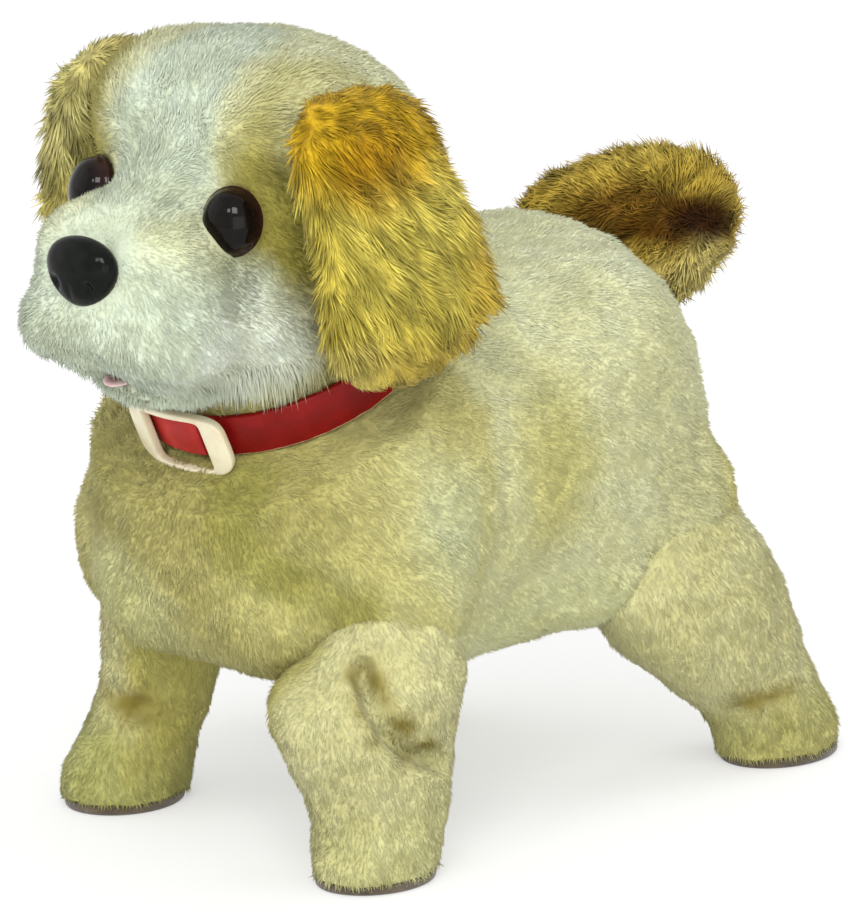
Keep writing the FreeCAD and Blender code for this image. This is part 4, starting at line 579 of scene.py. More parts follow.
def growFur(piece, fur, material):
    group = furNodes(piece.name + "Fur", fur, material)
    selectOnly(piece)
    modifier = piece.modifiers.new("fur", "NODES")
    modifier.node_group = group
    bpy.ops.object.modifier_apply(modifier=modifier.name)


# body

creamTan = colour(204, 197, 124)
creamLight = colour(230, 233, 194)

body = {
    "rings": [
        ((0, -82, 80), 6, 7),
        ((0, -77, 80), 21.5, 25),
        ((0, -67, 79.5), 35.5, 37),
        ((0, -48, 80), 46.8, 44),
        ((0, -15, 81.5), 49.4, 42.8),
        ((0, 15, 80.5), 48.8, 43),
        ((0, 42, 80.5), 44, 41.5),
        ((0, 55, 83), 35.5, 32),
        ((0, 63, 88.5), 22, 20.5),
        ((0, 68, 93.5), 6, 7),
    ],
    "haunch": ((34, 42.5, 61), (17, 16, 22)),
    "shoulder": ((34.5, -46, 62), (18, 18.5, 23)),
    "bib": ((16, -60, 57), (18, 17, 16.5)),
    "blocks": [((0, -3, 51), (37, 34, 13.5), 11), ((0, 3.5, 52.5), (29, 59, 13.5), 7),
               ((0, 17, 82), (46.5, 33, 39.2), 23)],
    "flank": ((33, 24, 50.5), (12, 23, 12)),
    "neck": {"centre": (0, -43.6, 110.2), "lean": 26.6, "radius": 31, "band": 5.6, "slope": 0.3},
    "held": {"seam": -24, "width": 2.6, "from": 50, "to": 110, "below": 42},
    "window": {"low": (-20.6, -51.6), "high": (20.6, 33), "roof": 44.2},
    "seam": [(47, -25, 108), (50, -24, 96), (50.5, -24, 82), (47, -23, 66), (40, -22, 54)],
    "base": colour(222, 223, 178),
    "patches": [
        ((0, -62, 80), (90, 42, 80), 0.08, colour(203, 197, 133)),
        ((46, 46, 72), (14, 16, 16), 0.6, colour(204, 204, 160)),
        ((0, 20, 124), (50, 62, 24), 0.4, creamLight),
        ((0, -80, 86), (40, 30, 32), 0.5, colour(184, 177, 112)),
        ((24, -66, 66), (16, 14, 12), 0.6, colour(198, 194, 128)),
        ((42, -46, 58), (17, 20, 13), 0.6, colour(210, 207, 146)),
        ((50, -8, 82), (13, 12, 20), 0.7, colour(207, 203, 136)),
        ((-50, -4, 82), (14, 13, 20), 0.35, creamTan),
        ((40, 60, 62), (18, 16, 18), 0.5, creamTan),
        ((-40, 56, 60), (18, 16, 18), 0.5, creamTan),
        ((40, 8, 46), (24, 34, 8), 0.5, colour(216, 218, 168)),
        ((16.5, -78, 88), (7, 10, 9), 0.6, colour(160, 156, 84)),
        ((19, -79, 78), (8, 10, 10), 0.6, colour(168, 164, 92)),
        ((29, -75, 68), (10, 10, 7), 0.6, colour(170, 166, 92)),
        ((40, -68, 60), (9, 10, 6), 0.6, colour(174, 170, 98)),
        ((-16, -72, 56), (16, 14, 11), 0.6, colour(216, 216, 158)),
        ((46, -41, 76), (10, 11, 16), 0.6, colour(214, 218, 172)),
    ],
    "fur": {
        "density": 2.6, "seed": 11, "length": 2.8, "width": 0.26, "short": 0.5, "lift": 0.55,
        "comb": (0, 0.35, -0.45), "from": (0, -90, 100), "away": 0.4, "zones": (),
        "clump": 6, "swirl": 1.4, "mess": 0.2,
        "bare": [
            ("box", (0, -43.6, 110.2), (34, 34, 5.2), 26.6),
            ("box", (0, -9, 44), (20.4, 42, 5.5), 0),
        ],
    },
}


def makeBody():
    neck, fixed, window = body["neck"], body["held"], body["window"]
    tilt = math.radians(neck["lean"])
    along = Vector((0, -math.sin(tilt), math.cos(tilt)))
    middle = Vector(neck["centre"])
    parts = [loft("Y", body["rings"])]
    parts.append(tube([middle - along * 26, middle - along * 8, middle + along * 8], [neck["radius"]] * 3))
    for centre, half, edge in body["blocks"]:
        parts.append(block(centre, half, edge))
    for side in (1, -1):
        for name in ("haunch", "shoulder", "bib", "flank"):
            (across, forward, up), radii = body[name]
            parts.append(ball((side * across, forward, up), radii))

    def held(spot):
        nearSeam = abs(spot.y - fixed["seam"]) < fixed["width"] and fixed["from"] < spot.z < fixed["to"]
        inNeck = inLean(spot, neck["centre"], neck["lean"]).z > -neck["band"]
        return nearSeam or inNeck or spot.z < fixed["below"]

    skin = stuff("bodyPlush", parts, 4, 1.6, held)
    # the neck stays within the collar, and the belly opens under the battery door and the switch
    for vertex in skin.data.vertices:
        spot = inLean(vertex.co / mm, neck["centre"], neck["lean"])
        over = math.hypot(spot.x, spot.y) - neck["radius"]
        if over > 0:
            # the shoulders slope away from just under the strap
            spot.z = min(spot.z, -neck["band"] - over * neck["slope"])
            vertex.co = (Matrix.Rotation(tilt, 3, "X") @ spot + middle) * mm
        x, y, z = vertex.co / mm
        inWindow = window["low"][0] < x < window["high"][0] and window["low"][1] < y < window["high"][1]
        if inWindow and z < window["roof"]:
            vertex.co.z = window["roof"] * mm
    for side in (1, -1):
        crease(skin, [mirrored(point, side) for point in body["seam"]], 4, 1.5)
    ruffle(skin, 15, 1.8)
    ruffle(skin, 4, 0.9)
    material = plushMaterial("bodyPile", body["base"], body["patches"])
    growFur(skin, body["fur"], material)
    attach(skin, "chassis")
    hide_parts("body_plush")


makeBody()
print("stage: body")

# head

white = colour(211, 222, 200)

head = {
    "skull": ((0, -46, 141.5), (39, 36, 37.5)),
    "brow": ((0, -60, 153), (28, 22, 19)),
    "bridge": ((0, -80, 142), (13, 18, 14.5)),
    "temple": ((13.5, -58, 161.5), (20, 22, 18.2)),
    "crown": ((0, -56, 163), (26, 22, 18.5)),
    "cheeks": ((0, -61, 121.5), (33.5, 25.5, 17)),
    "muzzle": ((0, -84, 127), (20, 24, 15.5)),
    "jowl": ((11.5, -90, 122.5), (15, 17.5, 11)),
    "puff": ((10, -88, 137), (14, 16, 12.5)),
    "socket": ((20, -81, 147), 8.5, (0, 3, 0)),
    "stop": [(-9, -86, 150), (0, -87, 150), (9, -86, 150)],
    "lips": [(-16, -100, 113), (0, -103, 117), (16, -100, 113)],
    "base": colour(228, 230, 188),
    "patches": [
        ((31, -62, 150), (18, 27, 33), 0.25, colour(178, 170, 90)),
        ((-31, -62, 150), (18, 27, 33), 0.25, colour(178, 170, 90)),
        ((38, -58, 122), (14, 26, 26), 0.3, colour(182, 174, 100)),
        ((-38, -58, 122), (14, 26, 26), 0.3, colour(182, 174, 100)),
        ((31, -58, 168), (13, 18, 12), 0.5, colour(222, 220, 168)),
        ((29, -73, 138), (8, 12, 18), 0.4, colour(160, 152, 74)),
        ((0, -72, 162), (15, 32, 36), 0.2, white),
        ((0, -87, 124), (29, 36, 27), 0.14, white),
        ((22, -78, 119), (16, 16, 13), 0.6, colour(240, 248, 232)),
        ((-22, -78, 119), (16, 16, 13), 0.6, colour(240, 248, 232)),
    ],
    "fur": {
        "density": 2.6, "seed": 21, "length": 3.6, "width": 0.28, "short": 0.55, "lift": 0.5,
        "comb": (0, 0.25, -0.5), "from": (0, -106, 140), "away": 0.8,
        "zones": [
            ((0, -108, 140), (17, 22, 16), 0.6, 0.45),
            ((0, -64, 107.5), (44, 34, 9), 0.4, 2.3),
            ((20, -80, 147), (11, 12, 11), 0.5, 0.5),
            ((-20, -80, 147), (11, 12, 11), 0.5, 0.5),
        ],
        "hang": [((0, -62, 107.5), (40, 34, 9), 0.4, (0, -0.7, -2.4))],
        "clump": 7, "swirl": 1.1, "mess": 0.3,
        "bare": [("ball", (20, -81, 147), (6.8, 7, 7.6)), ("ball", (-20, -81, 147), (6.8, 7, 7.6)),
                 ("ball", (0, -107, 137.4), (8.4, 6, 7))],
    },
}


def makeHead():
    parts = [ball(*head[name]) for name in ("skull", "crown", "brow", "bridge", "cheeks", "muzzle")]
    for side in (1, -1):
        for name in ("jowl", "puff", "temple"):
            (across, along, up), radii = head[name]
            parts.append(ball((side * across, along, up), radii))

    def held(spot):
        return (abs(spot.x) < 27 and abs(spot.z - 147) < 9 and -90 < spot.y < -72) or spot.z < 108

    skin = stuff("headPlush", parts, 3.4, 1.2, held)
    for side in (1, -1):
        (across, along, up), radius, push = head["socket"]
        dent(skin, (side * across, along, up), radius, push)
    crease(skin, head["stop"], 6, 0.5)
    crease(skin, head["lips"], 4, 1.2)
    ruffle(skin, 13, 1.2)
    ruffle(skin, 3.5, 0.5)
    material = plushMaterial("headPile", head["base"], head["patches"], wander=4, speckle=0.07, rootShade=0.86,
                             toneSpread=0.04)
    growFur(skin, head["fur"], material)
    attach(skin, "head")
    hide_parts("head_plush")


makeHead()
print("stage: head")

# ears: the right one lies further back on the head

ear = {
    "rings": [
        ((36, -62, 175.5), 5, 13),
        ((40.5, -62.5, 169), 7.5, 20),
        ((44, -62, 157), 8, 21.5),
        ((46.5, -58, 146), 8.5, 23.5),
        ((47.5, -55.5, 136), 8.5, 25),
        ((47.5, -54, 126), 8.5, 25.5),
        ((47, -55.5, 117), 7.5, 20),
        ((46, -58.5, 111.5), 5, 10),
    ],
    "back": {"leftEar": 0, "rightEar": 7},
    "narrow": {"leftEar": 1, "rightEar": 0.62},
    # the right ear is painted paler and less golden over most of it
    "paler": {"leftEar": [], "rightEar": [((-46, -62, 158), (26, 34, 24), 0.6, colour(204, 196, 128))]},
    "drop": {"leftEar": 0, "rightEar": 3},
    "rim": ((50, -76, 116), (10, 10, 8), 0.5, colour(200, 184, 98)),
    "roll": [(54, -80, 124), (56, -66, 117), (56, -50, 117), (52, -34, 122)],
    "base": colour(220, 202, 90),
    "patches": [
        ((50, -64, 170), (26, 34, 15), 0.4, colour(194, 158, 32)),
        ((56, -66, 160), (14, 12, 12), 0.5, colour(186, 142, 26)),
        ((56, -58, 144), (14, 18, 14), 0.6, colour(216, 200, 92)),
        ((52, -60, 116), (22, 22, 8), 0.4, colour(194, 172, 76)),
        ((50, -32, 126), (22, 12, 20), 0.5, colour(200, 172, 66)),
    ],
    "locks": {"size": 4, "stretch": 5, "lean": -28, "light": 1.35, "dark": 0.66},
    "fur": {
        "density": 2, "seed": 31, "length": 9, "width": 0.36, "short": 0.45, "lift": 0.3,
        "comb": (0, 0.7, -0.75), "from": (40, -64, 185), "away": 0.25,
        "zones": [((38, -64, 176), (14, 22, 12), 0.5, 0.5), ((50, -60, 112), (16, 30, 10), 0.4, 0.42)],
        "clump": 6, "swirl": 3.4, "mess": 0.12, "steps": 2, "curl": 0.18,
    },
}


def makeEar(name, node, side):
    back, narrow = ear["back"][name], ear["narrow"][name]
    drop = ear["drop"][name]
    rings = [(mirrored((x, y + back, z - drop), side), wide, long * narrow)
             for (x, y, z), wide, long in reversed(ear["rings"])]
    skin = stuff(name, [loft("Z", rings)], 3, 1.2, lambda spot: spot.z > 168)
    crease(skin, [mirrored((x, y + back, z), side) for x, y, z in ear["roll"]], 5, 1.8)
    ruffle(skin, 9, 2.2)
    patches = [(mirrored(centre, side), *rest) for centre, *rest in ear["patches"] + [ear["rim"]]]
    patches += ear["paler"][name]
    material = plushMaterial(name + "Pile", ear["base"], patches, wander=6, speckle=0.1, rootShade=0.72,
                             toneSpread=0.08, locks=ear["locks"])
    fur = dict(ear["fur"], seed=ear["fur"]["seed"] + side)
    fur["from"] = mirrored(fur["from"], side)
    fur["zones"] = [(mirrored(centre, side), *rest) for centre, *rest in fur["zones"]]
    growFur(skin, fur, material)
    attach(skin, "head")
    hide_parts(node)


makeEar("leftEar", "left_ear", 1)
makeEar("rightEar", "right_ear", -1)
print("stage: ears")

# jaw

jaw = {
    "lip": ((0, -80, 109), (16, 14, 4.4)),
    "fur": {
        "density": 3, "seed": 41, "length": 3.2, "width": 0.3, "short": 0.5, "lift": 0.5,
        "hang": [((0, -80, 107), (22, 18, 8), 0.4, (0, -0.5, -0.7))],
        "comb": (0, 0.5, -0.6), "from": (0, -104, 120), "away": 0.5,
        "clump": 7, "swirl": 1.0, "mess": 0.25,
    },
}


def makeJaw():
    skin = stuff("jawPlush", [ball(*jaw["lip"])], 2, 0.6, lambda spot: spot.y > -72)
    material = plushMaterial("jawPile", white, [], rootShade=0.86, toneSpread=0.04)
    growFur(skin, jaw["fur"], material)
    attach(skin, "jaw")
    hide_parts("jaw_plush")


makeJaw()
print("stage: jaw")

# legs: each hangs from its hub and leans to its foot

leg = {
    "hub": 60,
    "spread": 40.5,
    "sole": 2.4,
    "ankle": 10,
    # height, half width, half length, shift of the centre along the body and inwards
    "leftFront": [(64, 8, 10, 0, 0), (56, 13, 15, -2, 2), (49, 16.5, 19, -1, 3.5), (43, 18.5, 24.5, -3.6, 4),
                  (37, 17.8, 23.8, -5.8, 3), (30, 15.5, 21.5, -4.6, 1.5), (22, 14, 18.5, -1.6, 0.5),
                  (15, 13, 16.4, 0.8, 0), (8, 12.4, 15.8, 0, 0), (-1, 11.8, 15.2, 0, 0)],
    "rightFront": [(64, 8, 9, 4, 0), (56, 11, 11.5, 6, 1), (47, 12.5, 13.5, 7.5, 2), (38, 13, 14, 7.5, 3),
                   (30, 13, 13.5, 7, 2.5), (24, 12.2, 13, 6.3, 2), (18, 11.9, 14, 4.4, 1),
                   (12, 12, 15.4, 0.8, 0), (6, 12, 16.4, -1.6, 0), (-1, 11.8, 16.2, -1.4, 0)],
    "hind": [(64, 8, 10, -4, 0), (56, 12.5, 17, -9, 0), (45, 16.5, 26.6, -13.4, 2), (34, 16, 25.6, -13.4, 1.5),
             (25, 14, 21, -10.4, 0.5), (16, 12.6, 17.4, -6, 0), (8, 12.2, 15.8, -0.6, 0), (-1, 11.8, 15.2, 0, 0)],
    "fur": {
        "density": 2.8, "length": 2.6, "width": 0.25, "short": 0.5, "lift": 0.55,
        "comb": (0, 0.1, -0.7), "from": (0, 0, 90), "away": 0.1,
        "clump": 6, "swirl": 1.2, "mess": 0.2,
    },
    "base": colour(215, 212, 160),
    # the paw colours, one per leg; the right front paw is painted darker, as painted shade
    "low": {
        "leftFront": colour(210, 208, 152),
        "rightFront": colour(182, 182, 116),
        "hind": colour(200, 196, 128),
    },
    "inner": colour(200, 194, 116),
    "deep": colour(140, 128, 62),
}


def makeLeg(name, node, shape, side, hubY, footY, seed, folds, hollows):
    rings = []
    for height, wide, long, shift, inward in reversed(leg[shape]):
        share = min((leg["hub"] - height) / (leg["hub"] - leg["ankle"]), 1)
        centre = (side * (leg["spread"] - inward), hubY + (footY - hubY) * share + shift, height)
        rings.append((centre, wide, long))
    skin = stuff(name, [loft("Z", rings)], 3, 1.0, lambda spot: spot.z < 6 or spot.z > 60)
    for vertex in skin.data.vertices:
        vertex.co.z = max(vertex.co.z, leg["sole"] * mm)
    for points, width, depth in folds:
        crease(skin, points, width, depth)
    ruffle(skin, 12, 1.5)
    ruffle(skin, 3.5, 0.6)
    x = side * leg["spread"]
    patches = [
        ((x, footY, 6), (22, 26, 14), 0.4, leg["low"][shape]),
        ((x - side * 14, footY, 36), (9, 26, 30), 0.4, leg["inner"]),
    ]
    # painted shade in the hollows of the folds
    patches += [(centre, radii, 0.7, leg["deep"]) for centre, radii in hollows]
    material = plushMaterial(name + "Pile", leg["base"], patches)
    zones = [(centre, radii, 0.5, 0.4) for centre, radii in hollows]
    growFur(skin, dict(leg["fur"], seed=seed, zones=zones), material)
    for vertex in skin.data.vertices:
        vertex.co.z = max(vertex.co.z, 0.7 * mm)
    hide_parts(node)
    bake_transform(skin)


makeLeg("leftHindLeg", "left_hind_leg_plush", "hind", 1, 50, 73.44, 51,
        [([(54, 46, 22), (54, 56, 16), (52, 64, 8)], 4, 3)], [((55, 54, 17), (6, 10, 4))])
makeLeg("rightHindLeg", "right_hind_leg_plush", "hind", -1, 50, 33.54, 52,
        [([(-54, 20, 22), (-54, 24, 16), (-52, 30, 8)], 4, 3)], [((-55, 24, 17), (6, 10, 4))])
makeLeg("leftFrontLeg", "left_front_leg_plush", "leftFront", 1, -48, -57.1, 53,
        [([(45, -67, 50), (51, -69, 43.6), (54, -66.7, 36.3), (54.5, -59.5, 30.6), (53, -49, 27.2)], 4, 5)],
        [((46, -66.5, 49), (5, 5, 4.5)), ((51, -68.5, 43), (4.5, 4.5, 4.5)), ((54, -65.5, 35.5), (5, 5, 3.6)),
         ((54.3, -56, 29.4), (5, 7, 2.6))])
makeLeg("rightFrontLeg", "right_front_leg_plush", "rightFront", -1, -48, -48.4, 54,
        [([(-44, -58, 26), (-34, -56, 24), (-30, -46, 20)], 4, 2.5)], [((-34, -54, 24), (8, 6, 4))])
print("stage: legs")

# tail

tail = {
    "line": [(0, 66, 98), (0, 76, 102.5), (0, 87, 105.5), (0, 94, 111.5), (-3, 90, 118), (-8, 77, 119.5),
             (-12, 63, 117.5), (-14, 50, 117)],
    "radii": [7.5, 9, 8.4, 8.4, 9, 8.6, 7.4, 4],
    "base": colour(200, 172, 72),
    "patches": [
        # the next two patches are painted shade inside the curl of the tail
        ((1, 77, 114), (14, 13, 6), 0.5, colour(104, 70, 16)),
        ((4, 87, 111), (12, 9, 6), 0.5, colour(64, 36, 8)),
        ((-2, 66, 118), (12, 13, 5), 0.6, colour(140, 104, 34)),
        ((0, 78, 136), (22, 40, 9), 0.5, colour(200, 178, 84)),
        ((0, 84, 99), (20, 18, 9), 0.4, colour(228, 212, 132)),
    ],
    "locks": {"size": 3, "stretch": 4, "lean": 70, "light": 1.2, "dark": 0.62},
    "fur": {
        "density": 2.6, "seed": 61, "length": 6, "width": 0.34, "short": 0.45, "lift": 0.5,
        "comb": (-0.1, -0.1, 0.1), "from": (0, 84, 112), "away": 0.4,
        "zones": [((0, 66, 98), (12, 10, 10), 0.5, 0.5)],
        "clump": 5, "swirl": 1.4, "mess": 0.18, "steps": 2, "curl": 0.16,
    },
}


def makeTail():
    parts = [tube(tail["line"], tail["radii"])]
    skin = stuff("tailPlush", parts, 2.6, 1, lambda spot: spot.y < 70 and spot.z < 104)
    ruffle(skin, 8, 1.6)
    material = plushMaterial("tailPile", tail["base"], tail["patches"], wander=4, speckle=0.12, rootShade=0.7,
                             toneSpread=0.08, locks=tail["locks"])
    growFur(skin, tail["fur"], material)
    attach(skin, "tail")
    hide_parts("tail_plush")


makeTail()
print("stage: tail")

# eyes, nose and the washers that hold them

eye = {
    "centre": (20, -79.6, 147),
    "stretch": (1.08, 1, 1.2),
    "facing": (0.4, -0.89, 0.2),
    # how far out along the eye, and the radius there: a stem, a rim and then the dome
    "profile": [(-4, 3), (-1.2, 5.4), (-0.4, 6.3), (0.4, 6.5), (0.9, 6.1), (2.6, 5.7), (4.1, 4.8), (5.2, 3.4),
                (5.8, 1.7), (5.95, 0.4)],
    "black": colour(16, 12, 9),
    "brown": colour(44, 26, 20),
    "pupil": 5.6,
}
nose = {
    "centre": (0, -105, 137.4),
    "radii": (9.4, 5, 7.7),
    "taper": 0.2,
    "nostril": ((4.6, -109.4, 134.8), 2.5, (0, 1.5, 0.3)),
    "groove": [(0, -110.6, 135), (0, -109, 130.6)],
    "tint": colour(13, 16, 13),
}
washer = {"spots": [(18.4, -70, 146), (-18.4, -70, 146), (0, -95, 134)], "radius": 3.8, "thick": 1.2}


def eyeMaterial(name, side):
    material, nodes = newMaterial(name)
    spot = nodes.here()
    facing = Vector(mirrored(eye["facing"], side)).normalized()
    front = Vector(mirrored(eye["centre"], side)) + facing * eye["pupil"]
    reach = nodes.reach(spot, front, (eye["pupil"],) * 3)
    paint = nodes.mixed(nodes.ramp(reach, 1.0, 1.5), eye["black"], eye["brown"])
    streak = nodes.ramp(nodes.noise(spot, 1.6, 3), 0.3, 0.7, 0.75, 1.1)
    scuff = nodes.ramp(nodes.noise(spot, 3, 4), 0.35, 0.75, 0.04, 0.12)
    finishMaterial(nodes, nodes.toned(paint, streak), scuff, Specular_IOR_Level=0.14)
    return material


def makeEye(name, node, side):
    facing = Vector(mirrored(eye["facing"], side)).normalized()
    rings = [((0, -out, 0), radius, radius) for out, radius in eye["profile"]]
    piece = loft("Y", rings, sides=32)
    piece.scale = eye["stretch"]
    place(piece)
    piece.rotation_euler = facing.to_track_quat("-Y", "Z").to_euler()
    piece.location = Vector(mirrored(eye["centre"], side)) * mm
    place(piece)
    roundEdges(piece, 0.12, 2)
    applyModifier(piece, "SUBSURF", levels=1, render_levels=1)
    finishPiece(piece, name, eyeMaterial(name + "Gloss", side), 60)
    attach(piece, "head")
    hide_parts(node)


def makeNose():
    piece = ball(nose["centre"], nose["radii"])
    middle = Vector(nose["centre"]) * mm
    for vertex in piece.data.vertices:
        # broad above and narrower below
        vertex.co.x *= 1 + nose["taper"] * (vertex.co.z - middle.z) / (nose["radii"][2] * mm)
    applyModifier(piece, "SUBSURF", levels=1, render_levels=1)
    centre, radius, push = nose["nostril"]
    for side in (1, -1):
        dent(piece, mirrored(centre, side), radius, mirrored(push, side))
    crease(piece, nose["groove"], 1.3, 0.5)
    material, nodes = newMaterial("noseGloss")
    spot = nodes.here()
    paint = nodes.mixed(nodes.ramp(nodes.noise(spot, 4, 3), 0.35, 0.7), nose["tint"], colour(22, 24, 21))
    grain = nodes.add("ShaderNodeTexVoronoi", {"Vector": spot, "Scale": 1400}).outputs["Distance"]
    finishMaterial(nodes, paint, nodes.ramp(nodes.noise(spot, 5, 3), 0.3, 0.7, 0.1, 0.24), (grain, 0.12, 0.15),
                   Specular_IOR_Level=0.09)
    finishPiece(piece, "nosePiece", material, 60)
    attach(piece, "head")
    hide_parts("nose")


def makeWashers():
    rings = []
    for spot in washer["spots"]:
        ring = primitive(bpy.ops.mesh.primitive_torus_add, major_segments=32, minor_segments=10,
                         major_radius=washer["radius"] * mm, minor_radius=washer["thick"] * mm,
                         location=Vector(spot) * mm, rotation=(math.radians(80), 0, math.radians(spot[0] * 1.2)))
        rings.append(place(ring))
    piece = join("eyeWashers", rings)
    finishPiece(piece, "eyeWashers", castPlastic("washerPlastic", colour(40, 40, 42), 0.5), 40)
    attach(piece, "head")
    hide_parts("face_washers")


# tongue

tongue = {
    "rings": [((0, -79, 112.0), 3.6, 0.5), ((0, -84, 112.1), 4.6, 0.7), ((0, -90, 112.0), 4.8, 0.8),
              ((0, -94, 111.6), 4.2, 0.75), ((0, -96.3, 111.0), 2.8, 0.6), ((0, -97.2, 110.6), 1.1, 0.3)],
    "pink": colour(222, 190, 190),
    "red": colour(140, 62, 66),
}


def makeTongue():
    piece = loft("Y", list(reversed(tongue["rings"])), sides=24)
    applyModifier(piece, "SUBSURF", levels=2, render_levels=2)
    crease(piece, [(0, -82, 112.8), (0, -94, 112.4)], 1.8, 0.35)
    material, nodes = newMaterial("tongueFelt")
    spot = nodes.here()
    share = nodes.ramp(nodes.reach(spot, (0, -93, 112), (2.4, 4, 3)), 0.6, 1.3, 1, 0)
    paint = nodes.mixed(share, tongue["pink"], tongue["red"])
    fuzz = nodes.noise(spot, 0.5, 3)
    paint = nodes.mixed(nodes.ramp(fuzz, 0.4, 0.8, 0, 0.3), paint, colour(240, 222, 218))
    finishMaterial(nodes, paint, 0.85, (fuzz, 0.4, 0.15), Sheen_Weight=0.3, Sheen_Roughness=0.5)
    finishPiece(piece, "tonguePiece", material, 50)
    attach(piece, "jaw")
    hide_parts("tongue")


# collar: a strap with a turned edge, its free end, and the sliding buckle

collar = {
    "centre": (0, -43.6, 110.2),
    "lean": 26.6,
    "inner": 31.8,
    "thick": 1.6,
    "width": 10,
    "edge": 0.45,
    "endArc": (-62, 9),
    "red": colour(124, 15, 12),
    "paintedLitRed": colour(180, 44, 42),
    "tan": colour(196, 158, 122),
}
buckle = {
    "half": (13.4, 8.4),
    "window": (8.2, 6.7),
    "thick": 2.2,
    "gap": 0.15,
    "wrap": 42,
    "cream": colour(224, 216, 186),
}


def leaned(piece):
    piece.rotation_euler = (math.radians(collar["lean"]), 0, 0)
    piece.location = Vector(collar["centre"]) * mm
    return place(piece)


def strapMaterial():
    material, nodes = newMaterial("strapLeather")
    spot = nodes.here()
    shifted = nodes.vector("SUBTRACT", spot, tuple(Vector(collar["centre"]) * mm))
    across, along, up = nodes.parts(nodes.turned(shifted, -collar["lean"]))
    # painted light: the strap is painted a lighter red where it runs inside the buckle at the front
    inBuckle = nodes.ramp(nodes.maths("ABSOLUTE", across), 8 * mm, 10 * mm, 1, 0)
    inFront = nodes.maths("LESS_THAN", along, 0)
    paint = nodes.mixed(nodes.maths("MULTIPLY", inBuckle, inFront), collar["red"], collar["paintedLitRed"])
    paint = nodes.toned(paint, nodes.ramp(nodes.noise(spot, 6, 4), 0.35, 0.7, 0.82, 1.08))
    half = collar["width"] / 2 * mm
    wave = nodes.maths("MULTIPLY", nodes.noise(spot, 3, 2), 0.5 * mm)
    low = nodes.maths("LESS_THAN", nodes.maths("ADD", up, wave), -half + 0.62 * mm)
    paint = nodes.mixed(low, paint, collar["tan"])
    grain = nodes.add("ShaderNodeTexVoronoi", {"Vector": spot, "Scale": 1500}).outputs["Distance"]
    height = nodes.maths("ADD", grain, nodes.noise(spot, 0.5, 3))
    finishMaterial(nodes, paint, nodes.ramp(nodes.noise(spot, 4, 3), 0.3, 0.7, 0.32, 0.5), (height, 0.35, 0.12),
                   Specular_IOR_Level=0.16)
    return material


def makeStrap():
    def ring(radius, width):
        return place(primitive(bpy.ops.mesh.primitive_cylinder_add, vertices=128, radius=radius * mm,
                               depth=width * mm, end_fill_type="NOTHING"))

    middle = collar["inner"] + collar["thick"] / 2
    band = ring(middle, collar["width"])
    applyModifier(band, "SOLIDIFY", thickness=collar["thick"] * mm, offset=0)
    roundEdges(band, collar["edge"], 3)
    # the free end lies on the band, and passes under the buckle
    end = ring(middle + collar["thick"] * 0.8, collar["width"] - 0.8)
    bpy.ops.object.mode_set(mode="EDIT")
    bpy.ops.mesh.select_all(action="DESELECT")
    bpy.ops.object.mode_set(mode="OBJECT")
    first, last = collar["endArc"]
    for face in end.data.polygons:
        turn = math.degrees(math.atan2(face.center.x, -face.center.y))
        face.select = not first < turn < last
    bpy.ops.object.mode_set(mode="EDIT")
    bpy.ops.mesh.select_mode(type="FACE")
    bpy.ops.mesh.delete(type="FACE")
    bpy.ops.object.mode_set(mode="OBJECT")
    applyModifier(end, "SOLIDIFY", thickness=collar["thick"] * 0.7 * mm, offset=0)
    roundEdges(end, collar["edge"] * 0.7, 2)
    piece = leaned(join("collarStrap", [band, end]))
    finishPiece(piece, "collarStrap", strapMaterial(), 40)
    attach(piece, "chassis")
    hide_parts("collar_strap")


def makeBuckle():
    wide, high = buckle["half"]
    piece = place(primitive(bpy.ops.mesh.primitive_circle_add, vertices=64, radius=1, fill_type="NGON",
                            rotation=(math.pi / 2, 0, 0)))
    bpy.ops.object.mode_set(mode="EDIT")
    bpy.ops.mesh.select_all(action="SELECT")
    bpy.ops.mesh.inset(thickness=0.1)
    bpy.ops.object.mode_set(mode="OBJECT")
    for vertex in piece.data.vertices:
        # the outer ring is a bulging oblong, the inner ring a straight window
        across, up = vertex.co.x, vertex.co.z
        inner = vertex.co.length < 0.95
        size = buckle["window"] if inner else (wide, high)
        power = 0.22 if inner else 0.62
        reach = math.hypot(across, up)
        across, up = across / reach, up / reach
        vertex.co.x = math.copysign(abs(across) ** power, across) * size[0] * mm
        vertex.co.z = math.copysign(abs(up) ** (power * 0.75), up) * size[1] * mm
    for face in piece.data.polygons:
        face.select = len(face.vertices) > 4
    bpy.ops.object.mode_set(mode="EDIT")
    bpy.ops.mesh.select_mode(type="FACE")
    bpy.ops.mesh.delete(type="FACE")
    bpy.ops.mesh.select_all(action="SELECT")
    bpy.ops.mesh.subdivide(number_cuts=1)
    bpy.ops.object.mode_set(mode="OBJECT")
    front = collar["inner"] + collar["thick"] * 1.9 + buckle["gap"] + buckle["thick"] / 2
    for vertex in piece.data.vertices:
        vertex.co.y = (-front + (vertex.co.x / mm) ** 2 / (2 * buckle["wrap"])) * mm
    applyModifier(piece, "SOLIDIFY", thickness=buckle["thick"] * mm, offset=0)
    roundEdges(piece, 0.55, 3)
    leaned(piece)
    material, nodes = newMaterial("bucklePlastic")
    spot = nodes.here()
    stain = nodes.ramp(nodes.noise(spot, 5, 4), 0.45, 0.75, 0, 0.55)
    paint = nodes.mixed(stain, buckle["cream"], colour(206, 180, 140))
    finishMaterial(nodes, paint, nodes.ramp(nodes.noise(spot, 2, 3), 0.3, 0.7, 0.28, 0.42),
                   (nodes.noise(spot, 0.8, 3), 0.15, 0.1), Coat_Weight=0.2, Coat_Roughness=0.2)
    finishPiece(piece, "collarBuckle", material, 45)
    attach(piece, "chassis")
    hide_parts("collar_buckle")


# soles: felt pads sewn under the paws

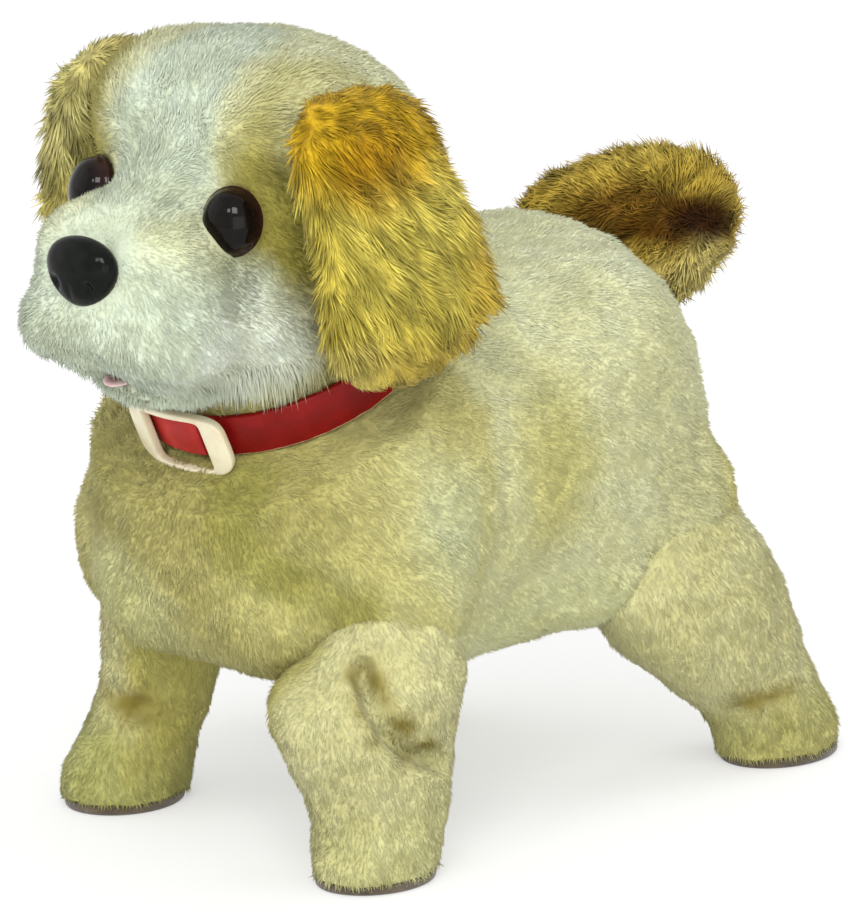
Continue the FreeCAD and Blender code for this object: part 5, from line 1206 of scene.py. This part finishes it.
sole = {
    "half": (11.6, 14.6),
    "thick": 2.3,
    "edge": 0.7,
    "brown": colour(58, 44, 26),
    "spots": {
        "left_hind": (40.5, 73.4), "right_hind": (-40.5, 33.6),
        "left_front": (40.5, -57.1), "right_front": (-40.5, -50.2),
    },
}


def makeSoles():
    material, nodes = newMaterial("soleFelt")
    spot = nodes.here()
    fuzz = nodes.noise(spot, 0.7, 4)
    paint = nodes.mixed(nodes.ramp(nodes.noise(spot, 5, 3), 0.35, 0.7), sole["brown"], colour(84, 68, 42))
    paint = nodes.mixed(nodes.ramp(fuzz, 0.5, 0.8, 0, 0.5), paint, colour(120, 104, 74))
    finishMaterial(nodes, paint, 0.95, (fuzz, 0.6, 0.3), Sheen_Weight=0.3, Sheen_Roughness=0.7)
    for legName, (x, y) in sole["spots"].items():
        piece = primitive(bpy.ops.mesh.primitive_cylinder_add, vertices=64, radius=1, depth=1, end_fill_type="NGON",
                          location=(x * mm, y * mm, (sole["thick"] / 2 + 0.05) * mm))
        piece.scale = (sole["half"][0] * mm, sole["half"][1] * mm, sole["thick"] * mm)
        place(piece)
        roundEdges(piece, sole["edge"], 3)
        name = legName.split("_")[0] + legName.split("_")[1].title() + "Sole"
        finishPiece(piece, name, material, 50)
        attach(piece, legName + "_leg")
        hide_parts(legName + "_sole")


# the works: moulded plastic, steel and the rest, for the CAD parts that keep their own shapes


def castPlastic(name, tint, rough, grain=0.25):
    material, nodes = newMaterial(name)
    spot = nodes.here()
    cloud = nodes.ramp(nodes.noise(spot, 18, 4), 0.3, 0.7, 0.92, 1.04)
    pits = nodes.noise(spot, 0.35, 2)
    finishMaterial(nodes, nodes.toned(tint, cloud),
                   nodes.ramp(nodes.noise(spot, 3, 3), 0.3, 0.7, rough - 0.07, rough + 0.07), (pits, grain, 0.08))
    return material


def brushedMetal(name, tint, rough):
    material, nodes = newMaterial(name)
    spot = nodes.here()
    drawn = nodes.vector("MULTIPLY", spot, (0.06, 1, 1))
    lines = nodes.noise(drawn, 0.3, 3)
    paint = nodes.mixed(nodes.ramp(lines, 0.3, 0.7, 0, 0.5), tint, tuple(0.72 * part for part in tint[:3]) + (1,))
    finishMaterial(nodes, paint, nodes.ramp(lines, 0.3, 0.7, rough - 0.08, rough + 0.1), (lines, 0.1, 0.05),
                   Metallic=1.0)
    return material


def cellWrap():
    material, nodes = newMaterial("cellWrap")
    spot = nodes.here()
    band = nodes.maths("GREATER_THAN", nodes.parts(spot)["Y"], -2 * mm)
    paint = nodes.mixed(band, colour(36, 38, 42), colour(176, 126, 62))
    scuffed = nodes.mixed(nodes.ramp(nodes.noise(spot, 2, 4), 0.55, 0.8, 0, 0.35), paint, colour(150, 150, 150))
    finishMaterial(nodes, scuffed, 0.35, (nodes.noise(spot, 1.2, 2), 0.1, 0.1), Coat_Weight=0.3)
    return material


def boardGreen():
    material, nodes = newMaterial("boardLaminate")
    spot = nodes.here()
    weave = nodes.add("ShaderNodeTexChecker", {"Vector": spot, "Scale": 1200}).outputs["Fac"]
    tracks = nodes.add("ShaderNodeTexBrick", {"Vector": spot, "Scale": 220}, offset=0.3).outputs["Fac"]
    paint = nodes.mixed(nodes.maths("MULTIPLY", weave, 0.2), colour(34, 92, 58), colour(60, 120, 78))
    paint = nodes.mixed(nodes.maths("MULTIPLY", tracks, 0.5), paint, colour(120, 150, 84))
    finishMaterial(nodes, paint, 0.35, (tracks, 0.2, 0.1), Coat_Weight=0.2)
    return material


def dressWorks():
    finishes = {
        "housing_grey": castPlastic("housingPlastic", colour(206, 206, 200), 0.5),
        "leg_plastic": castPlastic("legPlastic", colour(226, 223, 212), 0.45),
        "gear_white": castPlastic("gearNylon", colour(236, 233, 222), 0.4, 0.1),
        "black_plastic": castPlastic("blackPlastic", colour(40, 40, 42), 0.5),
        "steel": brushedMetal("brushedSteel", colour(188, 190, 194), 0.32),
        "brass_contact": brushedMetal("contactBrass", colour(206, 172, 96), 0.3),
        "cell_wrap": cellWrap(),
        "board_green": boardGreen(),
    }
    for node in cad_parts.values():
        for holder in node.material_slots:
            if holder.material and holder.material.name in finishes:
                holder.material = finishes[holder.material.name]


makeEye("leftEye", "left_eye", 1)
makeEye("rightEye", "right_eye", -1)
makeNose()
makeWashers()
makeTongue()
print("stage: face")
makeStrap()
makeBuckle()
makeSoles()
print("stage: collar and soles")
dressWorks()
print("stage: works")
